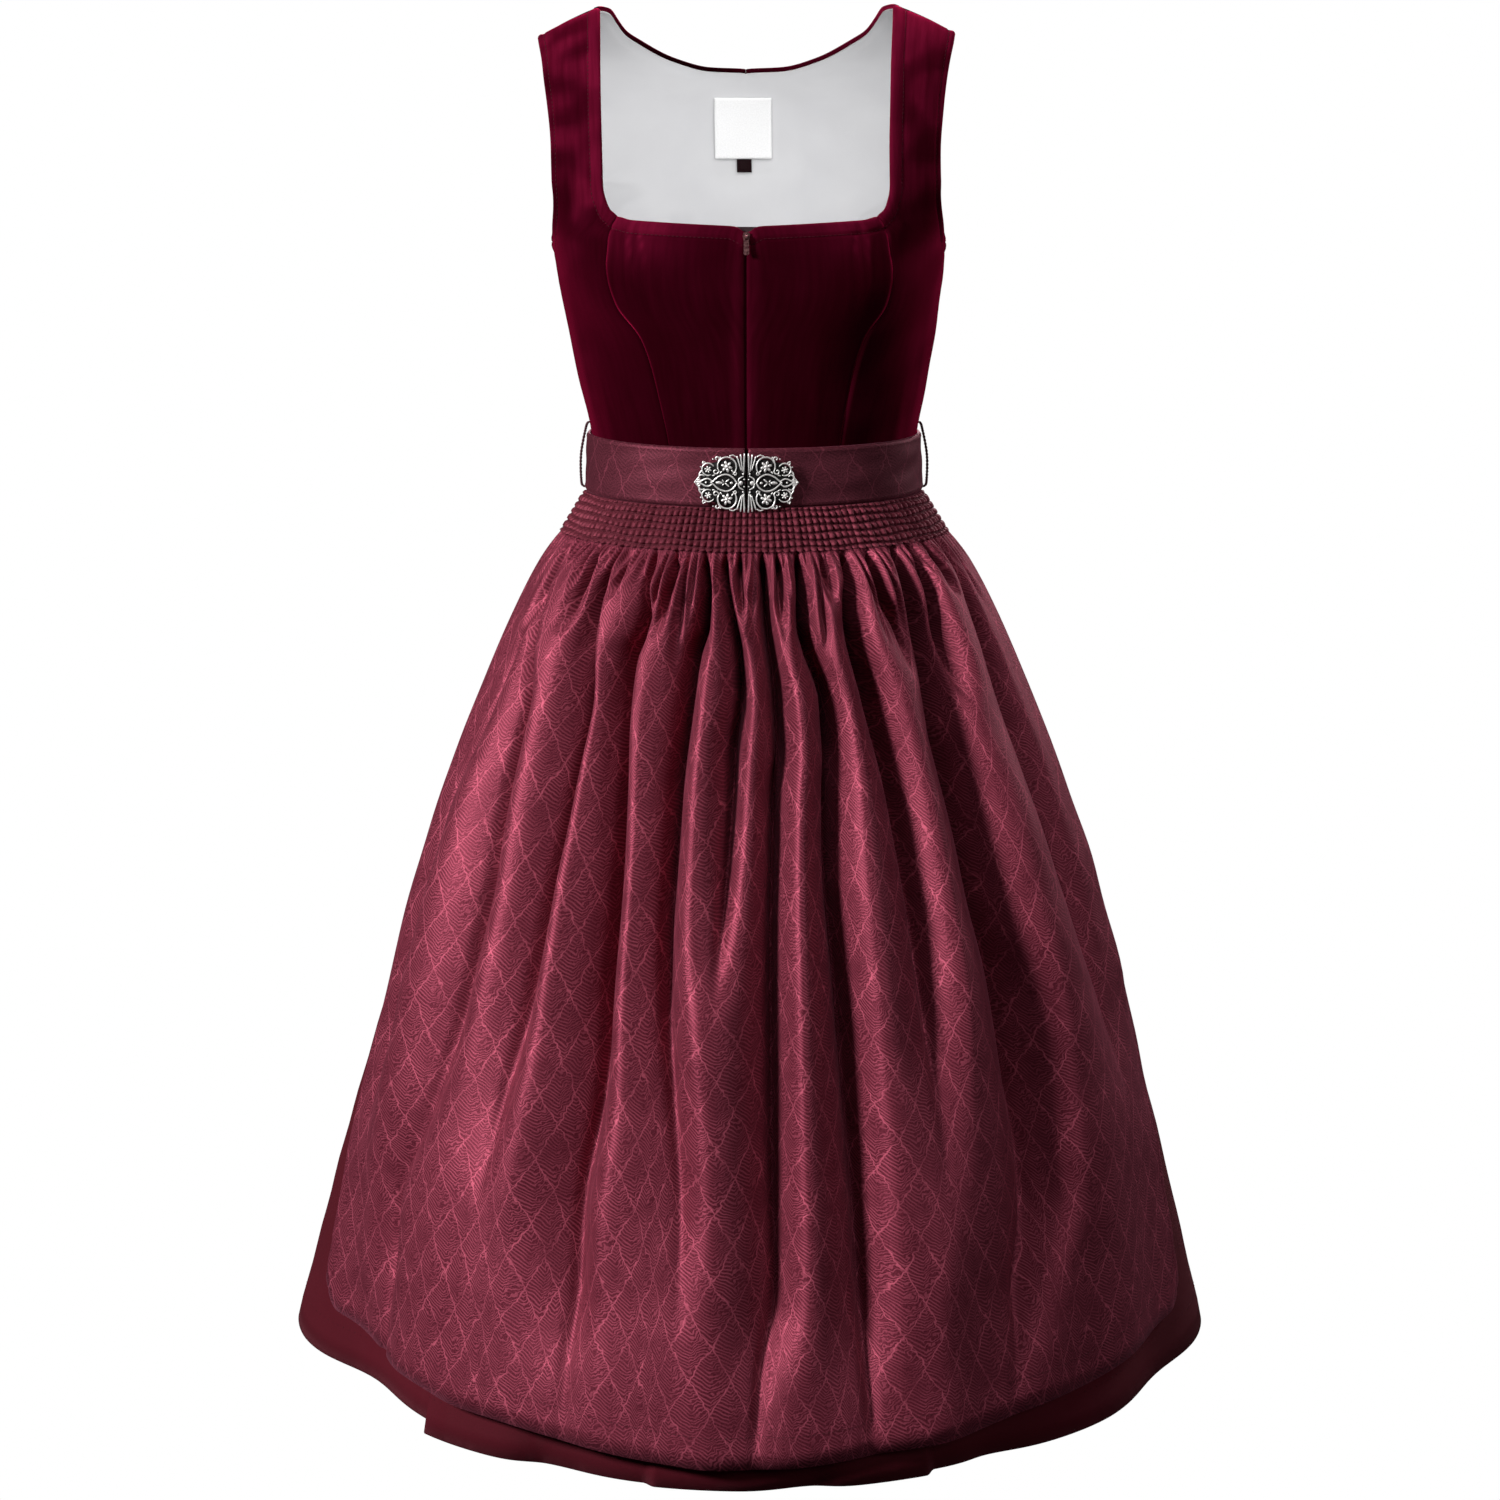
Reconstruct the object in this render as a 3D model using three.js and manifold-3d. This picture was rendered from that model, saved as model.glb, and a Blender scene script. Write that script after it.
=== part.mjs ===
// A dirndl, hollow and filled out as when it is worn: a velvet bodice with a square neck and a front
// zip, a gathered cotton skirt, and a jacquard apron whose smocked top hangs from a belt with a
// two-part filigree clasp. Millimetres, +Z up, the front faces -Y and +X is the viewer's right.
// Heights are counted up and drops are counted down from the waist seam, and azimuths are degrees
// from the front, positive towards +X. The whole is moved at the end, so that its origin lies
// between the shoulder straps, where a wearer carries it.
import * as THREE from 'three';
import { mergeVertices } from 'three/addons/utils/BufferGeometryUtils.js';
import Module from 'manifold-3d';

const wasm = await Module();
wasm.setup();

// Driving dimensions
const seamGap = 0.3;
const velvetThickness = 2.0;
const liningThickness = 1.2;
const skirtThickness = 2.0;
const apronThickness = 2.0;
const beltThickness = 2.4;
const labelThickness = 1.0;
const waistSeamDrop = 2;
const smockingTop = 7.3;
const smockingBottom = 37;
const apronHem = 648.5;
const skirtHem = 667;
const beltTop = 36;
const beltBottom = -7;
const shoulderHold = 339;
const apronClearance = 1.1;
const closureX = -2.6;
const DEGREE = Math.PI / 180;

// Tables are read by their first column, and the other columns are smooth curves between the rows.
function table(columns, rows) {
  return rows.map((row) => Object.fromEntries(columns.map((name, index) => [name, row[index]])));
}

function hermite(start, end, startSlope, endSlope, t) {
  const t2 = t * t;
  const t3 = t2 * t;
  return start * (2 * t3 - 3 * t2 + 1) + startSlope * (t3 - 2 * t2 + t)
    + end * (3 * t2 - 2 * t3) + endSlope * (t3 - t2);
}

// The slope at a row is the harmonic mean of its neighbours' slopes, so a curve never overshoots.
function slopeAt(rows, key, column, index) {
  if (index === 0 || index === rows.length - 1) {
    const first = Math.min(index, rows.length - 2);
    return (rows[first + 1][column] - rows[first][column]) / (rows[first + 1][key] - rows[first][key]);
  }
  const before = (rows[index][column] - rows[index - 1][column]) / (rows[index][key] - rows[index - 1][key]);
  const after = (rows[index + 1][column] - rows[index][column]) / (rows[index + 1][key] - rows[index][key]);
  return before * after > 0 ? 2 * before * after / (before + after) : 0;
}

function read(rows, column, at) {
  const key = Object.keys(rows[0])[0];
  let index = 0;
  while (index < rows.length - 2 && at > rows[index + 1][key]) index += 1;
  const span = rows[index + 1][key] - rows[index][key];
  const t = THREE.MathUtils.clamp((at - rows[index][key]) / span, 0, 1);
  return hermite(rows[index][column], rows[index + 1][column],
    slopeAt(rows, key, column, index) * span, slopeAt(rows, key, column, index + 1) * span, t);
}

// Half width, depth before and behind the side line, and sideways sway of each level section. The
// bodice's path runs up the front and back to the shoulder seam, where both depths reach 0, and its
// last row only carries the curve on past that seam.
const bodiceSections = table(
  ['path', 'height', 'halfWidth', 'front', 'back', 'droop', 'sway'],
  [
    [-10, -10, 119, 91, 84, 0, 3],
    [0, 0, 119, 91, 84, 0, 3],
    [36, 36, 123, 94, 86, 0, 3],
    [75, 75, 131, 99, 88, 0, 2.5],
    [110, 110, 137, 107, 90, 0, 2],
    [150, 150, 143.5, 113, 93, 0, 0.5],
    [176, 176, 147, 112, 95, 0, -1],
    [200, 200, 157, 106, 95, 0, -1.8],
    [225, 225, 165, 100, 95, 0, -2.6],
    [270, 271, 165, 85, 90, 6, -3.2],
    [305, 308, 165, 64, 78, 14, -3.2],
    [335, 337, 165, 42, 53, 24, -2.8],
    [355, 353, 165, 22, 30, 31, -2.6],
    [372, 362, 165, 0, 0, 34, -2.6],
    [380, 362, 165, -10, -14, 34, -2.6],
  ],
);
const skirtSections = table(
  ['drop', 'halfWidth', 'front', 'back', 'power', 'sway'],
  [
    [2, 121, 93, 86, 2, 3],
    [37, 143, 112, 104, 2, 3.4],
    [60, 158, 128, 120, 2, 3.8],
    [100, 178, 147, 142, 1.99, 4],
    [150, 200, 171, 168, 1.98, 4],
    [200, 221, 194, 192, 1.97, 4],
    [300, 258, 236, 236, 1.94, 4],
    [400, 287, 270, 270, 1.92, 3.4],
    [500, 316, 302, 302, 1.9, 2.3],
    [600, 342, 330, 328, 1.88, 0.7],
    [667, 360, 348, 345, 1.87, -0.4],
  ],
);
const beltSections = table(
  ['height', 'halfWidth', 'front', 'back', 'sway'],
  [
    [beltBottom, 128, 99.5, 92, 3],
    [beltTop, 126, 97, 89, 3],
  ],
);

function section(rows, at) {
  const names = Object.keys(rows[0]).slice(1);
  return Object.fromEntries(names.map((name) => [name, read(rows, name, at)]));
}

// A point of a level section, grown outwards by a distance.
function planPoint(level, azimuth, growth, height) {
  const across = Math.sin(azimuth * DEGREE);
  const forward = Math.cos(azimuth * DEGREE);
  const roundness = 2 / (level.power ?? 2);
  const depth = forward >= 0 ? level.front : level.back;
  return new THREE.Vector3(
    level.sway + (level.halfWidth + growth) * Math.sign(across) * Math.abs(across) ** roundness,
    -(depth + growth) * Math.sign(forward) * Math.abs(forward) ** roundness,
    height,
  );
}

// Walls: a surface made of grids of points, its inner copy, and a rim all round between them.
function grid(columns, rows, place) {
  const points = [];
  for (let row = 0; row <= rows; row += 1) {
    for (let column = 0; column <= columns; column += 1) points.push(place(column, row));
  }
  return { columns, rows, points };
}

function wall(grids) {
  const outer = [];
  const inner = [];
  const found = new Map();
  const triangles = [];
  const vertexOf = (pair) => {
    const key = pair.outer.toArray().map((value) => Math.round(value * 1e4)).join();
    if (!found.has(key)) {
      found.set(key, outer.length);
      outer.push(pair.outer);
      inner.push(pair.inner);
    }
    return found.get(key);
  };
  for (const { columns, rows, points, mirrored } of grids) {
    const at = (column, row) => vertexOf(points[row * (columns + 1) + column]);
    for (let row = 0; row < rows; row += 1) {
      for (let column = 0; column < columns; column += 1) {
        const corners = [at(column, row), at(column, row + 1), at(column + 1, row + 1), at(column + 1, row)];
        if (mirrored) corners.reverse();
        const [a, b, c, d] = corners;
        if ((row + column) % 2) triangles.push([a, b, c], [a, c, d]);
        else triangles.push([a, b, d], [b, c, d]);
      }
    }
  }
  const directed = new Set();
  for (const [a, b, c] of triangles) {
    for (const edge of [[a, b], [b, c], [c, a]]) directed.add(edge.join());
  }
  const count = outer.length;
  const faces = [];
  for (const [a, b, c] of triangles) {
    faces.push([a, b, c], [a + count, c + count, b + count]);
    for (const [from, to] of [[a, b], [b, c], [c, a]]) {
      if (directed.has([to, from].join())) continue;
      faces.push([to, from, from + count], [to, from + count, to + count]);
    }
  }
  return closedGeometry([...outer, ...inner], faces);
}

// Faces are turned to point out, whichever way round the grids were given.
function closedGeometry(points, faces) {
  const volume = faces.reduce((sum, [a, b, c]) => (
    sum + points[a].dot(new THREE.Vector3().crossVectors(points[b], points[c]))), 0);
  const turned = volume < 0 ? faces.map(([a, b, c]) => [a, c, b]) : faces;
  const geometry = new THREE.BufferGeometry();
  const positions = points.flatMap((point) => point.toArray());
  geometry.setAttribute('position', new THREE.Float32BufferAttribute(positions, 3));
  geometry.setIndex(turned.flat());
  geometry.computeVertexNormals();
  return geometry;
}

// Joining solids, for the slider and the clasp.
function solidOf(geometry) {
  const bare = geometry.clone();
  bare.deleteAttribute('normal');
  bare.deleteAttribute('uv');
  const merged = mergeVertices(bare, 1e-4);
  return new wasm.Manifold(new wasm.Mesh({
    numProp: 3,
    vertProperties: new Float32Array(merged.attributes.position.array),
    triVerts: new Uint32Array(merged.index.array),
  }));
}

function geometryOf(solid) {
  const mesh = solid.getMesh();
  const geometry = new THREE.BufferGeometry();
  geometry.setAttribute('position', new THREE.Float32BufferAttribute(mesh.vertProperties, 3));
  geometry.setIndex(Array.from(mesh.triVerts));
  geometry.computeVertexNormals();
  return geometry;
}

function joined(geometries) {
  return geometryOf(geometries.map(solidOf).reduce((sum, solid) => sum.add(solid)));
}

const velvet = new THREE.MeshStandardMaterial({ color: 0x4a0716, roughness: 0.85 });
const liningCloth = new THREE.MeshStandardMaterial({ color: 0xdadadd, roughness: 0.9 });
const skirtCotton = new THREE.MeshStandardMaterial({ color: 0x5e1d27, roughness: 0.8 });
const jacquard = new THREE.MeshStandardMaterial({ color: 0x7d3349, roughness: 0.5 });
const labelCloth = new THREE.MeshStandardMaterial({ color: 0xf2f2f2, roughness: 0.7 });
const tabCloth = new THREE.MeshStandardMaterial({ color: 0x2a1216, roughness: 0.7 });
const tapeCloth = new THREE.MeshStandardMaterial({ color: 0x2c060c, roughness: 0.8 });
const threadCord = new THREE.MeshStandardMaterial({ color: 0x221014, roughness: 0.7 });
const zipMetal = new THREE.MeshStandardMaterial({ color: 0x7a4a4c, roughness: 0.4, metalness: 0.8 });
const oldSilver = new THREE.MeshStandardMaterial({ color: 0x9a9691, roughness: 0.35, metalness: 1 });

const dirndl = new THREE.Group();

function add(name, geometry, material, parent = dirndl) {
  const mesh = new THREE.Mesh(geometry, material);
  mesh.name = name;
  parent.add(mesh);
  return mesh;
}

// Bodice. The cups are two low swells of the front, and the shoulders slope down past the neck.
const cup = { azimuth: 37, path: 148, height: 6, spreadAzimuth: 20, spreadPath: 34 };
const droopStart = 40;
const droopSpan = 116;

function bodicePoint(azimuth, path) {
  const level = section(bodiceSections, path);
  const turn = (Math.abs(azimuth) - cup.azimuth) / cup.spreadAzimuth;
  const rise = (path - cup.path) / cup.spreadPath;
  const point = planPoint(level, azimuth, cup.height * Math.exp(-turn * turn - rise * rise), level.height);
  point.z -= level.droop * (Math.max(0, Math.abs(point.x) - droopStart) / droopSpan) ** 2;
  return point;
}

function bodiceNormal(azimuth, path) {
  const step = 0.2;
  const topPath = bodiceSections.at(-1).path;
  const above = bodicePoint(azimuth, Math.min(path + step, topPath));
  const below = bodicePoint(azimuth, Math.min(path, topPath) - step);
  const along = bodicePoint(azimuth + step, path).sub(bodicePoint(azimuth - step, path));
  return along.cross(above.sub(below)).normalize();
}

// A pair of points on both faces of a layer that lies a depth inside the bodice's outer face.
function layerPair(azimuth, path, depth, thickness) {
  const point = bodicePoint(azimuth, path);
  const normal = bodiceNormal(azimuth, path);
  return {
    outer: point.clone().addScaledVector(normal, -depth),
    inner: point.clone().addScaledVector(normal, -depth - thickness),
  };
}

function closureAzimuth(path) {
  const level = section(bodiceSections, path);
  return Math.asin((closureX - level.sway) / level.halfWidth) / DEGREE;
}

const bodiceBottom = -waistSeamDrop + seamGap;
const seamTurn = 0.09;
const slitTurn = 0.35;
const shoulderSeam = 371.7;
const neckCentreFront = 199;
const princessRows = 9;

// Each row gives both edges of a panel: the side seam and armhole first, and then the princess seam
// or centre back seam and the neck.
const frontSideRows = table(
  ['sideAzimuth', 'sidePath', 'neckAzimuth', 'neckPath'],
  [
    [90, bodiceBottom, 30, bodiceBottom],
    [90, 36, 30.8, 36],
    [90, 75, 32.5, 80],
    [90, 110, 35.5, 115],
    [90, 140, 42, 140],
    [90, 158, 44, 165],
    [90, 176, 42, 185],
    [82, 178, 39.5, 196],
    [74, 186, 37.6, 203.5],
    [66, 200, 39, 208],
    [60, 222, 39.2, 226],
    [60.3, 250, 39.3, 252],
    [62, 285, 39.7, 287],
    [65, 320, 40.1, 322],
    [67.6, 350, 40.6, 351],
    [69.3, shoulderSeam, 41, shoulderSeam],
  ],
);
const backRows = table(
  ['sideAzimuth', 'sidePath', 'neckAzimuth', 'neckPath'],
  [
    [90, bodiceBottom, 180, bodiceBottom],
    [90, 36, 180, 44],
    [90, 75, 180, 92],
    [90, 110, 180, 138],
    [90, 140, 180, 180],
    [90, 158, 180, 210],
    [90, 176, 180, 242],
    [98, 178, 180, 272],
    [106, 186, 180, 299.5],
    [114, 202, 170, 302.5],
    [120, 228, 160.5, 309],
    [119.7, 260, 152, 323],
    [117.5, 292, 147, 335],
    [114.5, 325, 144.5, 348],
    [112.2, 352, 142.7, 361],
    [110.7, shoulderSeam, 139, shoulderSeam],
  ],
);

// sideTurn and neckTurn open the seams, and side is -1 for the viewer's left or 1 for the right.
function panelGrid(rows, columns, side, { sideTurn = 0, neckTurn = 0, depth = 0, thickness }) {
  const lattice = grid(columns, rows.length - 1, (column, row) => {
    const share = column / columns;
    const edge = rows[row];
    const azimuth = THREE.MathUtils.lerp(edge.sideAzimuth + sideTurn, edge.neckAzimuth + neckTurn, share);
    const path = THREE.MathUtils.lerp(edge.sidePath, edge.neckPath, share);
    return layerPair(side * azimuth, path, depth, thickness);
  });
  return { ...lattice, mirrored: side < 0 };
}

// The rows of the front centre end on the closure, spread as they are on the princess seam.
function closurePath(row) {
  const neckPath = frontSideRows[princessRows - 1].neckPath;
  return THREE.MathUtils.mapLinear(
    frontSideRows[row].neckPath, bodiceBottom, neckPath, bodiceBottom, neckCentreFront);
}

function frontCentreGrid(side) {
  const columns = 4;
  const lattice = grid(columns, princessRows - 1, (column, row) => {
    const share = column / columns;
    const edge = frontSideRows[row];
    const closure = side * closureAzimuth(closurePath(row)) + slitTurn;
    const azimuth = THREE.MathUtils.lerp(edge.neckAzimuth - seamTurn, closure, share);
    const path = THREE.MathUtils.lerp(edge.neckPath, closurePath(row), share);
    return layerPair(side * azimuth, path, 0, velvetThickness);
  });
  return { ...lattice, mirrored: side < 0 };
}

const sides = [['left', -1], ['right', 1]];
for (const [name, side] of sides) {
  const velvetWall = { thickness: velvetThickness };
  add(`front_centre_${name}`, wall([frontCentreGrid(side)]), velvet);
  add(`front_side_${name}`, wall([
    panelGrid(frontSideRows, 6, side, { ...velvetWall, sideTurn: -seamTurn, neckTurn: seamTurn }),
  ]), velvet);
  add(`back_${name}`, wall([
    panelGrid(backRows, 8, side, { ...velvetWall, sideTurn: seamTurn, neckTurn: -seamTurn }),
  ]), velvet);
}

// The lining is one piece across the whole back, just inside the velvet.
const liningDepth = velvetThickness + seamGap;
add('lining_back', wall(sides.map(([, side]) => (
  panelGrid(backRows, 8, side, { depth: liningDepth, thickness: liningThickness })
))), liningCloth);

// A label is a small patch of the lining's own surface, moved inwards past its flat facets.
const facetSag = 2.2;

function labelWall(left, right, bottom, top) {
  const depth = liningDepth + liningThickness + facetSag;
  const columns = 4;
  const rows = 4;
  return wall([grid(columns, rows, (column, row) => {
    const x = THREE.MathUtils.lerp(left, right, column / columns);
    const path = THREE.MathUtils.lerp(bottom, top, row / rows);
    const halfWidth = read(bodiceSections, 'halfWidth', path);
    return layerPair(180 - Math.asin(x / halfWidth) / DEGREE, path, depth, labelThickness);
  })]);
}

const mainLabel = { left: -24.5, right: 20, bottom: 234.5, top: 280.5 };
const sizeTab = { left: -7.5, right: 4, bottom: 225.5, top: mainLabel.bottom - seamGap };
add('label_main', labelWall(mainLabel.left, mainLabel.right, mainLabel.bottom, mainLabel.top), labelCloth);
add('label_size', labelWall(sizeTab.left, sizeTab.right, sizeTab.bottom, sizeTab.top), tabCloth);

// Zip: a tape behind the front slit, a slider at its top, and a pull that hangs on the slider.
const tape = { halfTurn: 4.5, shorter: 1.5, gap: 0.8, thickness: 1.2, columns: 2 };
add('zip_tape', wall([grid(tape.columns, princessRows - 1, (column, row) => {
  const path = closurePath(row) - tape.shorter;
  const turn = THREE.MathUtils.lerp(-tape.halfTurn, tape.halfTurn, column / tape.columns);
  return layerPair(closureAzimuth(path) + turn, path, velvetThickness + tape.gap, tape.thickness);
})]), tapeCloth);

const slider = {
  path: 189, halfWidth: 2.6, topHalfWidth: 2.1, bottomHalfWidth: 1.6, top: 3.6, shoulder: 1.3,
  bottom: -3.8, thickness: 2, standOff: 0.4,
};
const bridge = { innerRadius: 1, outerRadius: 1.8, halfWidth: 0.9, reach: 1.1 };
const pull = {
  top: 0.6, bottom: -13, waist: -6.5, flare: -9.75, halfWidth: 2, neckHalfWidth: 1.9, corner: 1,
  thickness: 1, holeTop: -0.75, holeBottom: -2.2, holeClearance: 0.4,
};

// Shapes of the slider are drawn as seen from the front, and extruded towards the wearer.
function frontPlate(shape, thickness, frontFace) {
  const geometry = new THREE.ExtrudeGeometry(shape, { depth: thickness, bevelEnabled: false });
  geometry.rotateX(Math.PI / 2);
  return geometry.translate(0, frontFace + thickness, 0);
}

// A half outline on the right side, from the bottom up, is mirrored to close the shape.
function mirroredShape(half) {
  const right = half.map(([x, y]) => new THREE.Vector2(x, y));
  const left = [...half].reverse().map(([x, y]) => new THREE.Vector2(-x, y));
  return new THREE.Shape([...right, ...left]);
}

function sliderGeometry() {
  const body = mirroredShape([
    [slider.bottomHalfWidth, slider.bottom],
    [slider.halfWidth, slider.shoulder],
    [slider.topHalfWidth, slider.top],
  ]);
  const sunk = bridge.reach + seamGap;
  const arch = new THREE.Shape();
  arch.moveTo(sunk, bridge.outerRadius);
  arch.lineTo(0, bridge.outerRadius);
  arch.absarc(0, 0, bridge.outerRadius, Math.PI / 2, 3 * Math.PI / 2, false);
  arch.lineTo(sunk, -bridge.outerRadius);
  arch.lineTo(sunk, -bridge.innerRadius);
  arch.lineTo(0, -bridge.innerRadius);
  arch.absarc(0, 0, bridge.innerRadius, 3 * Math.PI / 2, Math.PI / 2, true);
  arch.lineTo(sunk, bridge.innerRadius);
  const archSolid = new THREE.ExtrudeGeometry(arch, {
    depth: 2 * bridge.halfWidth, bevelEnabled: false, curveSegments: 6,
  });
  archSolid.translate(0, 0, -bridge.halfWidth);
  archSolid.applyMatrix4(new THREE.Matrix4().makeBasis(
    new THREE.Vector3(0, 1, 0), new THREE.Vector3(0, 0, 1), new THREE.Vector3(1, 0, 0)));
  return joined([frontPlate(body, slider.thickness, bridge.reach), archSolid]);
}

function pullGeometry() {
  const outline = mirroredShape([
    [pull.halfWidth - pull.corner, pull.bottom],
    [pull.halfWidth, pull.bottom + pull.corner],
    [pull.halfWidth, pull.flare],
    [pull.neckHalfWidth, pull.waist],
    [pull.neckHalfWidth, pull.top],
  ]);
  const holeHalfWidth = bridge.halfWidth + pull.holeClearance;
  outline.holes.push(new THREE.Path([
    new THREE.Vector2(-holeHalfWidth, pull.holeTop),
    new THREE.Vector2(holeHalfWidth, pull.holeTop),
    new THREE.Vector2(holeHalfWidth, pull.holeBottom),
    new THREE.Vector2(-holeHalfWidth, pull.holeBottom),
  ]));
  return frontPlate(outline, pull.thickness, -pull.thickness / 2);
}

// The group's origin is the pull's hinge line, and its tilt follows the front below the neck.
const zipHead = new THREE.Group();
const zipSeat = bodicePoint(closureAzimuth(slider.path), slider.path);
const zipNormal = bodiceNormal(closureAzimuth(slider.path), slider.path);
zipHead.position.copy(zipSeat).addScaledVector(zipNormal, slider.standOff + slider.thickness + bridge.reach);
zipHead.rotation.x = -Math.atan2(zipNormal.z, -zipNormal.y);
dirndl.add(zipHead);
add('zip_slider', sliderGeometry(), zipMetal, zipHead);
add('zip_pull', pullGeometry(), zipMetal, zipHead);

// Skirt. Its folds are troughs, so that it never comes out past its own sections.
const skirtDrops = [waistSeamDrop, 37, 60, 95, 140, 200, 270, 350, 440, 540, 640, skirtHem];
const skirtColumns = 45;
const skirtTroughs = table(
  ['azimuth', 'from', 'to', 'depth', 'halfTurn'],
  [
    [-26, 420, 900, 9, 5],
    [8, 480, 900, 6, 4],
    [31, 520, 900, 5, 4],
    [-98, 40, 900, 12, 5],
    [-112, 60, 900, 17, 5.5],
    [-127, 30, 900, 16, 5.5],
    [-139, 70, 560, 11, 4.5],
    [-152, 40, 900, 20, 6],
    [-168, 30, 900, 17, 5],
    [178, 50, 900, 19, 5.5],
    [164, 30, 620, 14, 5],
    [151, 60, 900, 20, 6],
    [136, 40, 900, 17, 5],
    [123, 30, 580, 12, 4.5],
    [110, 60, 900, 18, 5.5],
    [97, 40, 900, 12, 5],
  ],
);

function smoothStep(value) {
  const t = THREE.MathUtils.clamp(value, 0, 1);
  return t * t * (3 - 2 * t);
}

// Near the hem both layers are dented in beside the side seams, where the skirt hangs less full.
const hemDents = table(
  ['azimuth', 'depth', 'halfTurn'],
  [[-62, 24, 11], [64, 13, 10]],
);
const dentRise = 250;

function hemDent(azimuth, drop) {
  const growth = smoothStep((drop - skirtHem + dentRise) / dentRise);
  return hemDents.reduce((sum, dent) => (
    sum + dent.depth * growth * Math.exp(-((turnBetween(azimuth, dent.azimuth) / dent.halfTurn) ** 2))), 0);
}

// A fold grows over its first stretch, fades before its end, and is a soft hump across.
const foldGrowth = 150;

function foldHump(fold, turn, drop) {
  const across = Math.exp(-((turn / fold.halfTurn) ** 2));
  const grown = smoothStep((drop - fold.from) / foldGrowth);
  return across * grown * smoothStep((fold.to - drop) / foldGrowth);
}

function turnBetween(azimuth, other) {
  return THREE.MathUtils.euclideanModulo(azimuth - other + 180, 360) - 180;
}

function skirtTrough(azimuth, drop) {
  return skirtTroughs.reduce((sum, trough) => (
    sum + trough.depth * foldHump(trough, turnBetween(azimuth, trough.azimuth), drop)), 0);
}

// Short gathers, one to each pair of columns, are deepest a little below where they are sewn.
const gatherDepth = table(
  ['drop', 'apron', 'skirt'],
  [[2, 0.8, 0.6], [37, 1.2, 3], [60, 4.5, 4], [95, 3.6, 3], [140, 1.2, 1.5], [200, 0, 0], [270, 0, 0]],
);

function skirtPair(azimuth, drop, gather) {
  const level = section(skirtSections, drop);
  const gathered = gather * read(gatherDepth, 'skirt', drop);
  const inwards = skirtTrough(azimuth, drop) + hemDent(azimuth, drop) + gathered;
  return {
    outer: planPoint(level, azimuth, -inwards, -drop),
    inner: planPoint(level, azimuth, -inwards - skirtThickness, -drop),
  };
}

function skirtWall(centreAzimuth, gathered) {
  const span = 180 - 2 * seamTurn;
  return wall([grid(skirtColumns, skirtDrops.length - 1, (column, row) => {
    const azimuth = centreAzimuth + span * (column / skirtColumns - 0.5);
    return skirtPair(azimuth, skirtDrops[row], gathered ? column % 2 : 0);
  })]);
}

add('skirt_front', skirtWall(0, false), skirtCotton);
add('skirt_back', skirtWall(180, true), skirtCotton);

// Apron. Its side edges move forwards on the way down, and its ribs and folds all stand outwards.
const apronEdge = table(
  ['drop', 'azimuth'],
  [[7, 85], [60, 85], [200, 81], [400, 77], [apronHem, 73.5]],
);
const ribs = { count: 84, height: 1.7 };

function apronPair(azimuth, drop, outwards, ribHeight = 0) {
  const level = section(skirtSections, drop);
  const base = apronClearance + outwards - hemDent(azimuth, drop);
  return {
    outer: planPoint(level, azimuth, base + apronThickness + ribHeight, -drop),
    inner: planPoint(level, azimuth, base, -drop),
  };
}

// The smocked band's ribs stand only on its outer face.
const smockingDrops = [smockingTop, smockingBottom];
const smockingLift = table(['drop', 'growth'], [[smockingTop, 0.6], [smockingBottom, 0]]);
add('apron_smocking', wall([grid(2 * ribs.count, smockingDrops.length - 1, (column, row) => {
  const drop = smockingDrops[row];
  const azimuth = read(apronEdge, 'azimuth', drop) * (column / ribs.count - 1);
  return apronPair(azimuth, drop, read(smockingLift, 'growth', drop), ribs.height * (column % 2));
})]), jacquard);

// Main folds: the azimuth of each ridge near the gathers, half way down and at the hem.
const apronFolds = table(
  ['top', 'middle', 'hem', 'from', 'to', 'height', 'halfTurn'],
  [
    [-62, -68, -69, 50, 700, 11, 4.5],
    [-51, -46, -48, 60, 800, 17, 5],
    [-36, -33, -36, 40, 740, 19, 4.5],
    [-23, -20, -21, 40, 900, 20, 4.5],
    [-11, -10, -10, 30, 400, 11, 3],
    [-1, -2, -9, 30, 900, 18, 4.5],
    [10, 9, 7, 30, 900, 20, 4.2],
    [22, 20, 16, 40, 900, 18, 4.2],
    [37, 34, 27, 40, 560, 19, 4.5],
    [58, 50, 49, 50, 560, 17, 5],
    [66, 60, 37, 200, 740, 14, 5.5],
  ],
);
const foldStations = { top: 90, middle: 320, hem: apronHem };
const hemEasing = table(
  ['drop', 'share'],
  [[0, 1], [300, 1], [450, 0.75], [apronHem, 0.36]],
);

function foldAzimuth(fold, drop) {
  const path = [
    { drop: foldStations.top, azimuth: fold.top },
    { drop: foldStations.middle, azimuth: fold.middle },
    { drop: foldStations.hem, azimuth: fold.hem },
  ];
  return read(path, 'azimuth', drop);
}

function apronRise(azimuth, drop) {
  const height = apronFolds.reduce((sum, fold) => (
    sum + fold.height * foldHump(fold, azimuth - foldAzimuth(fold, drop), drop)), 0);
  return height * read(hemEasing, 'share', drop);
}

const apronColumns = 80;
const apronDrops = [smockingBottom + seamGap, 60, 95, 140, 200, 270, 350, 440, 540, apronHem];
const corner = { share: 0.93, lift: 22 };
const hemCurve = { share: 0.75, lift: 21 };

// The apron's hem is lowest at the front, curves up to the sides and ends in rounded corners.
function apronHemLift(share) {
  const past = Math.max(0, (Math.abs(share) - corner.share) / (1 - corner.share));
  return hemCurve.lift * smoothStep(Math.abs(share) / hemCurve.share) + corner.lift * past * past;
}

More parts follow.
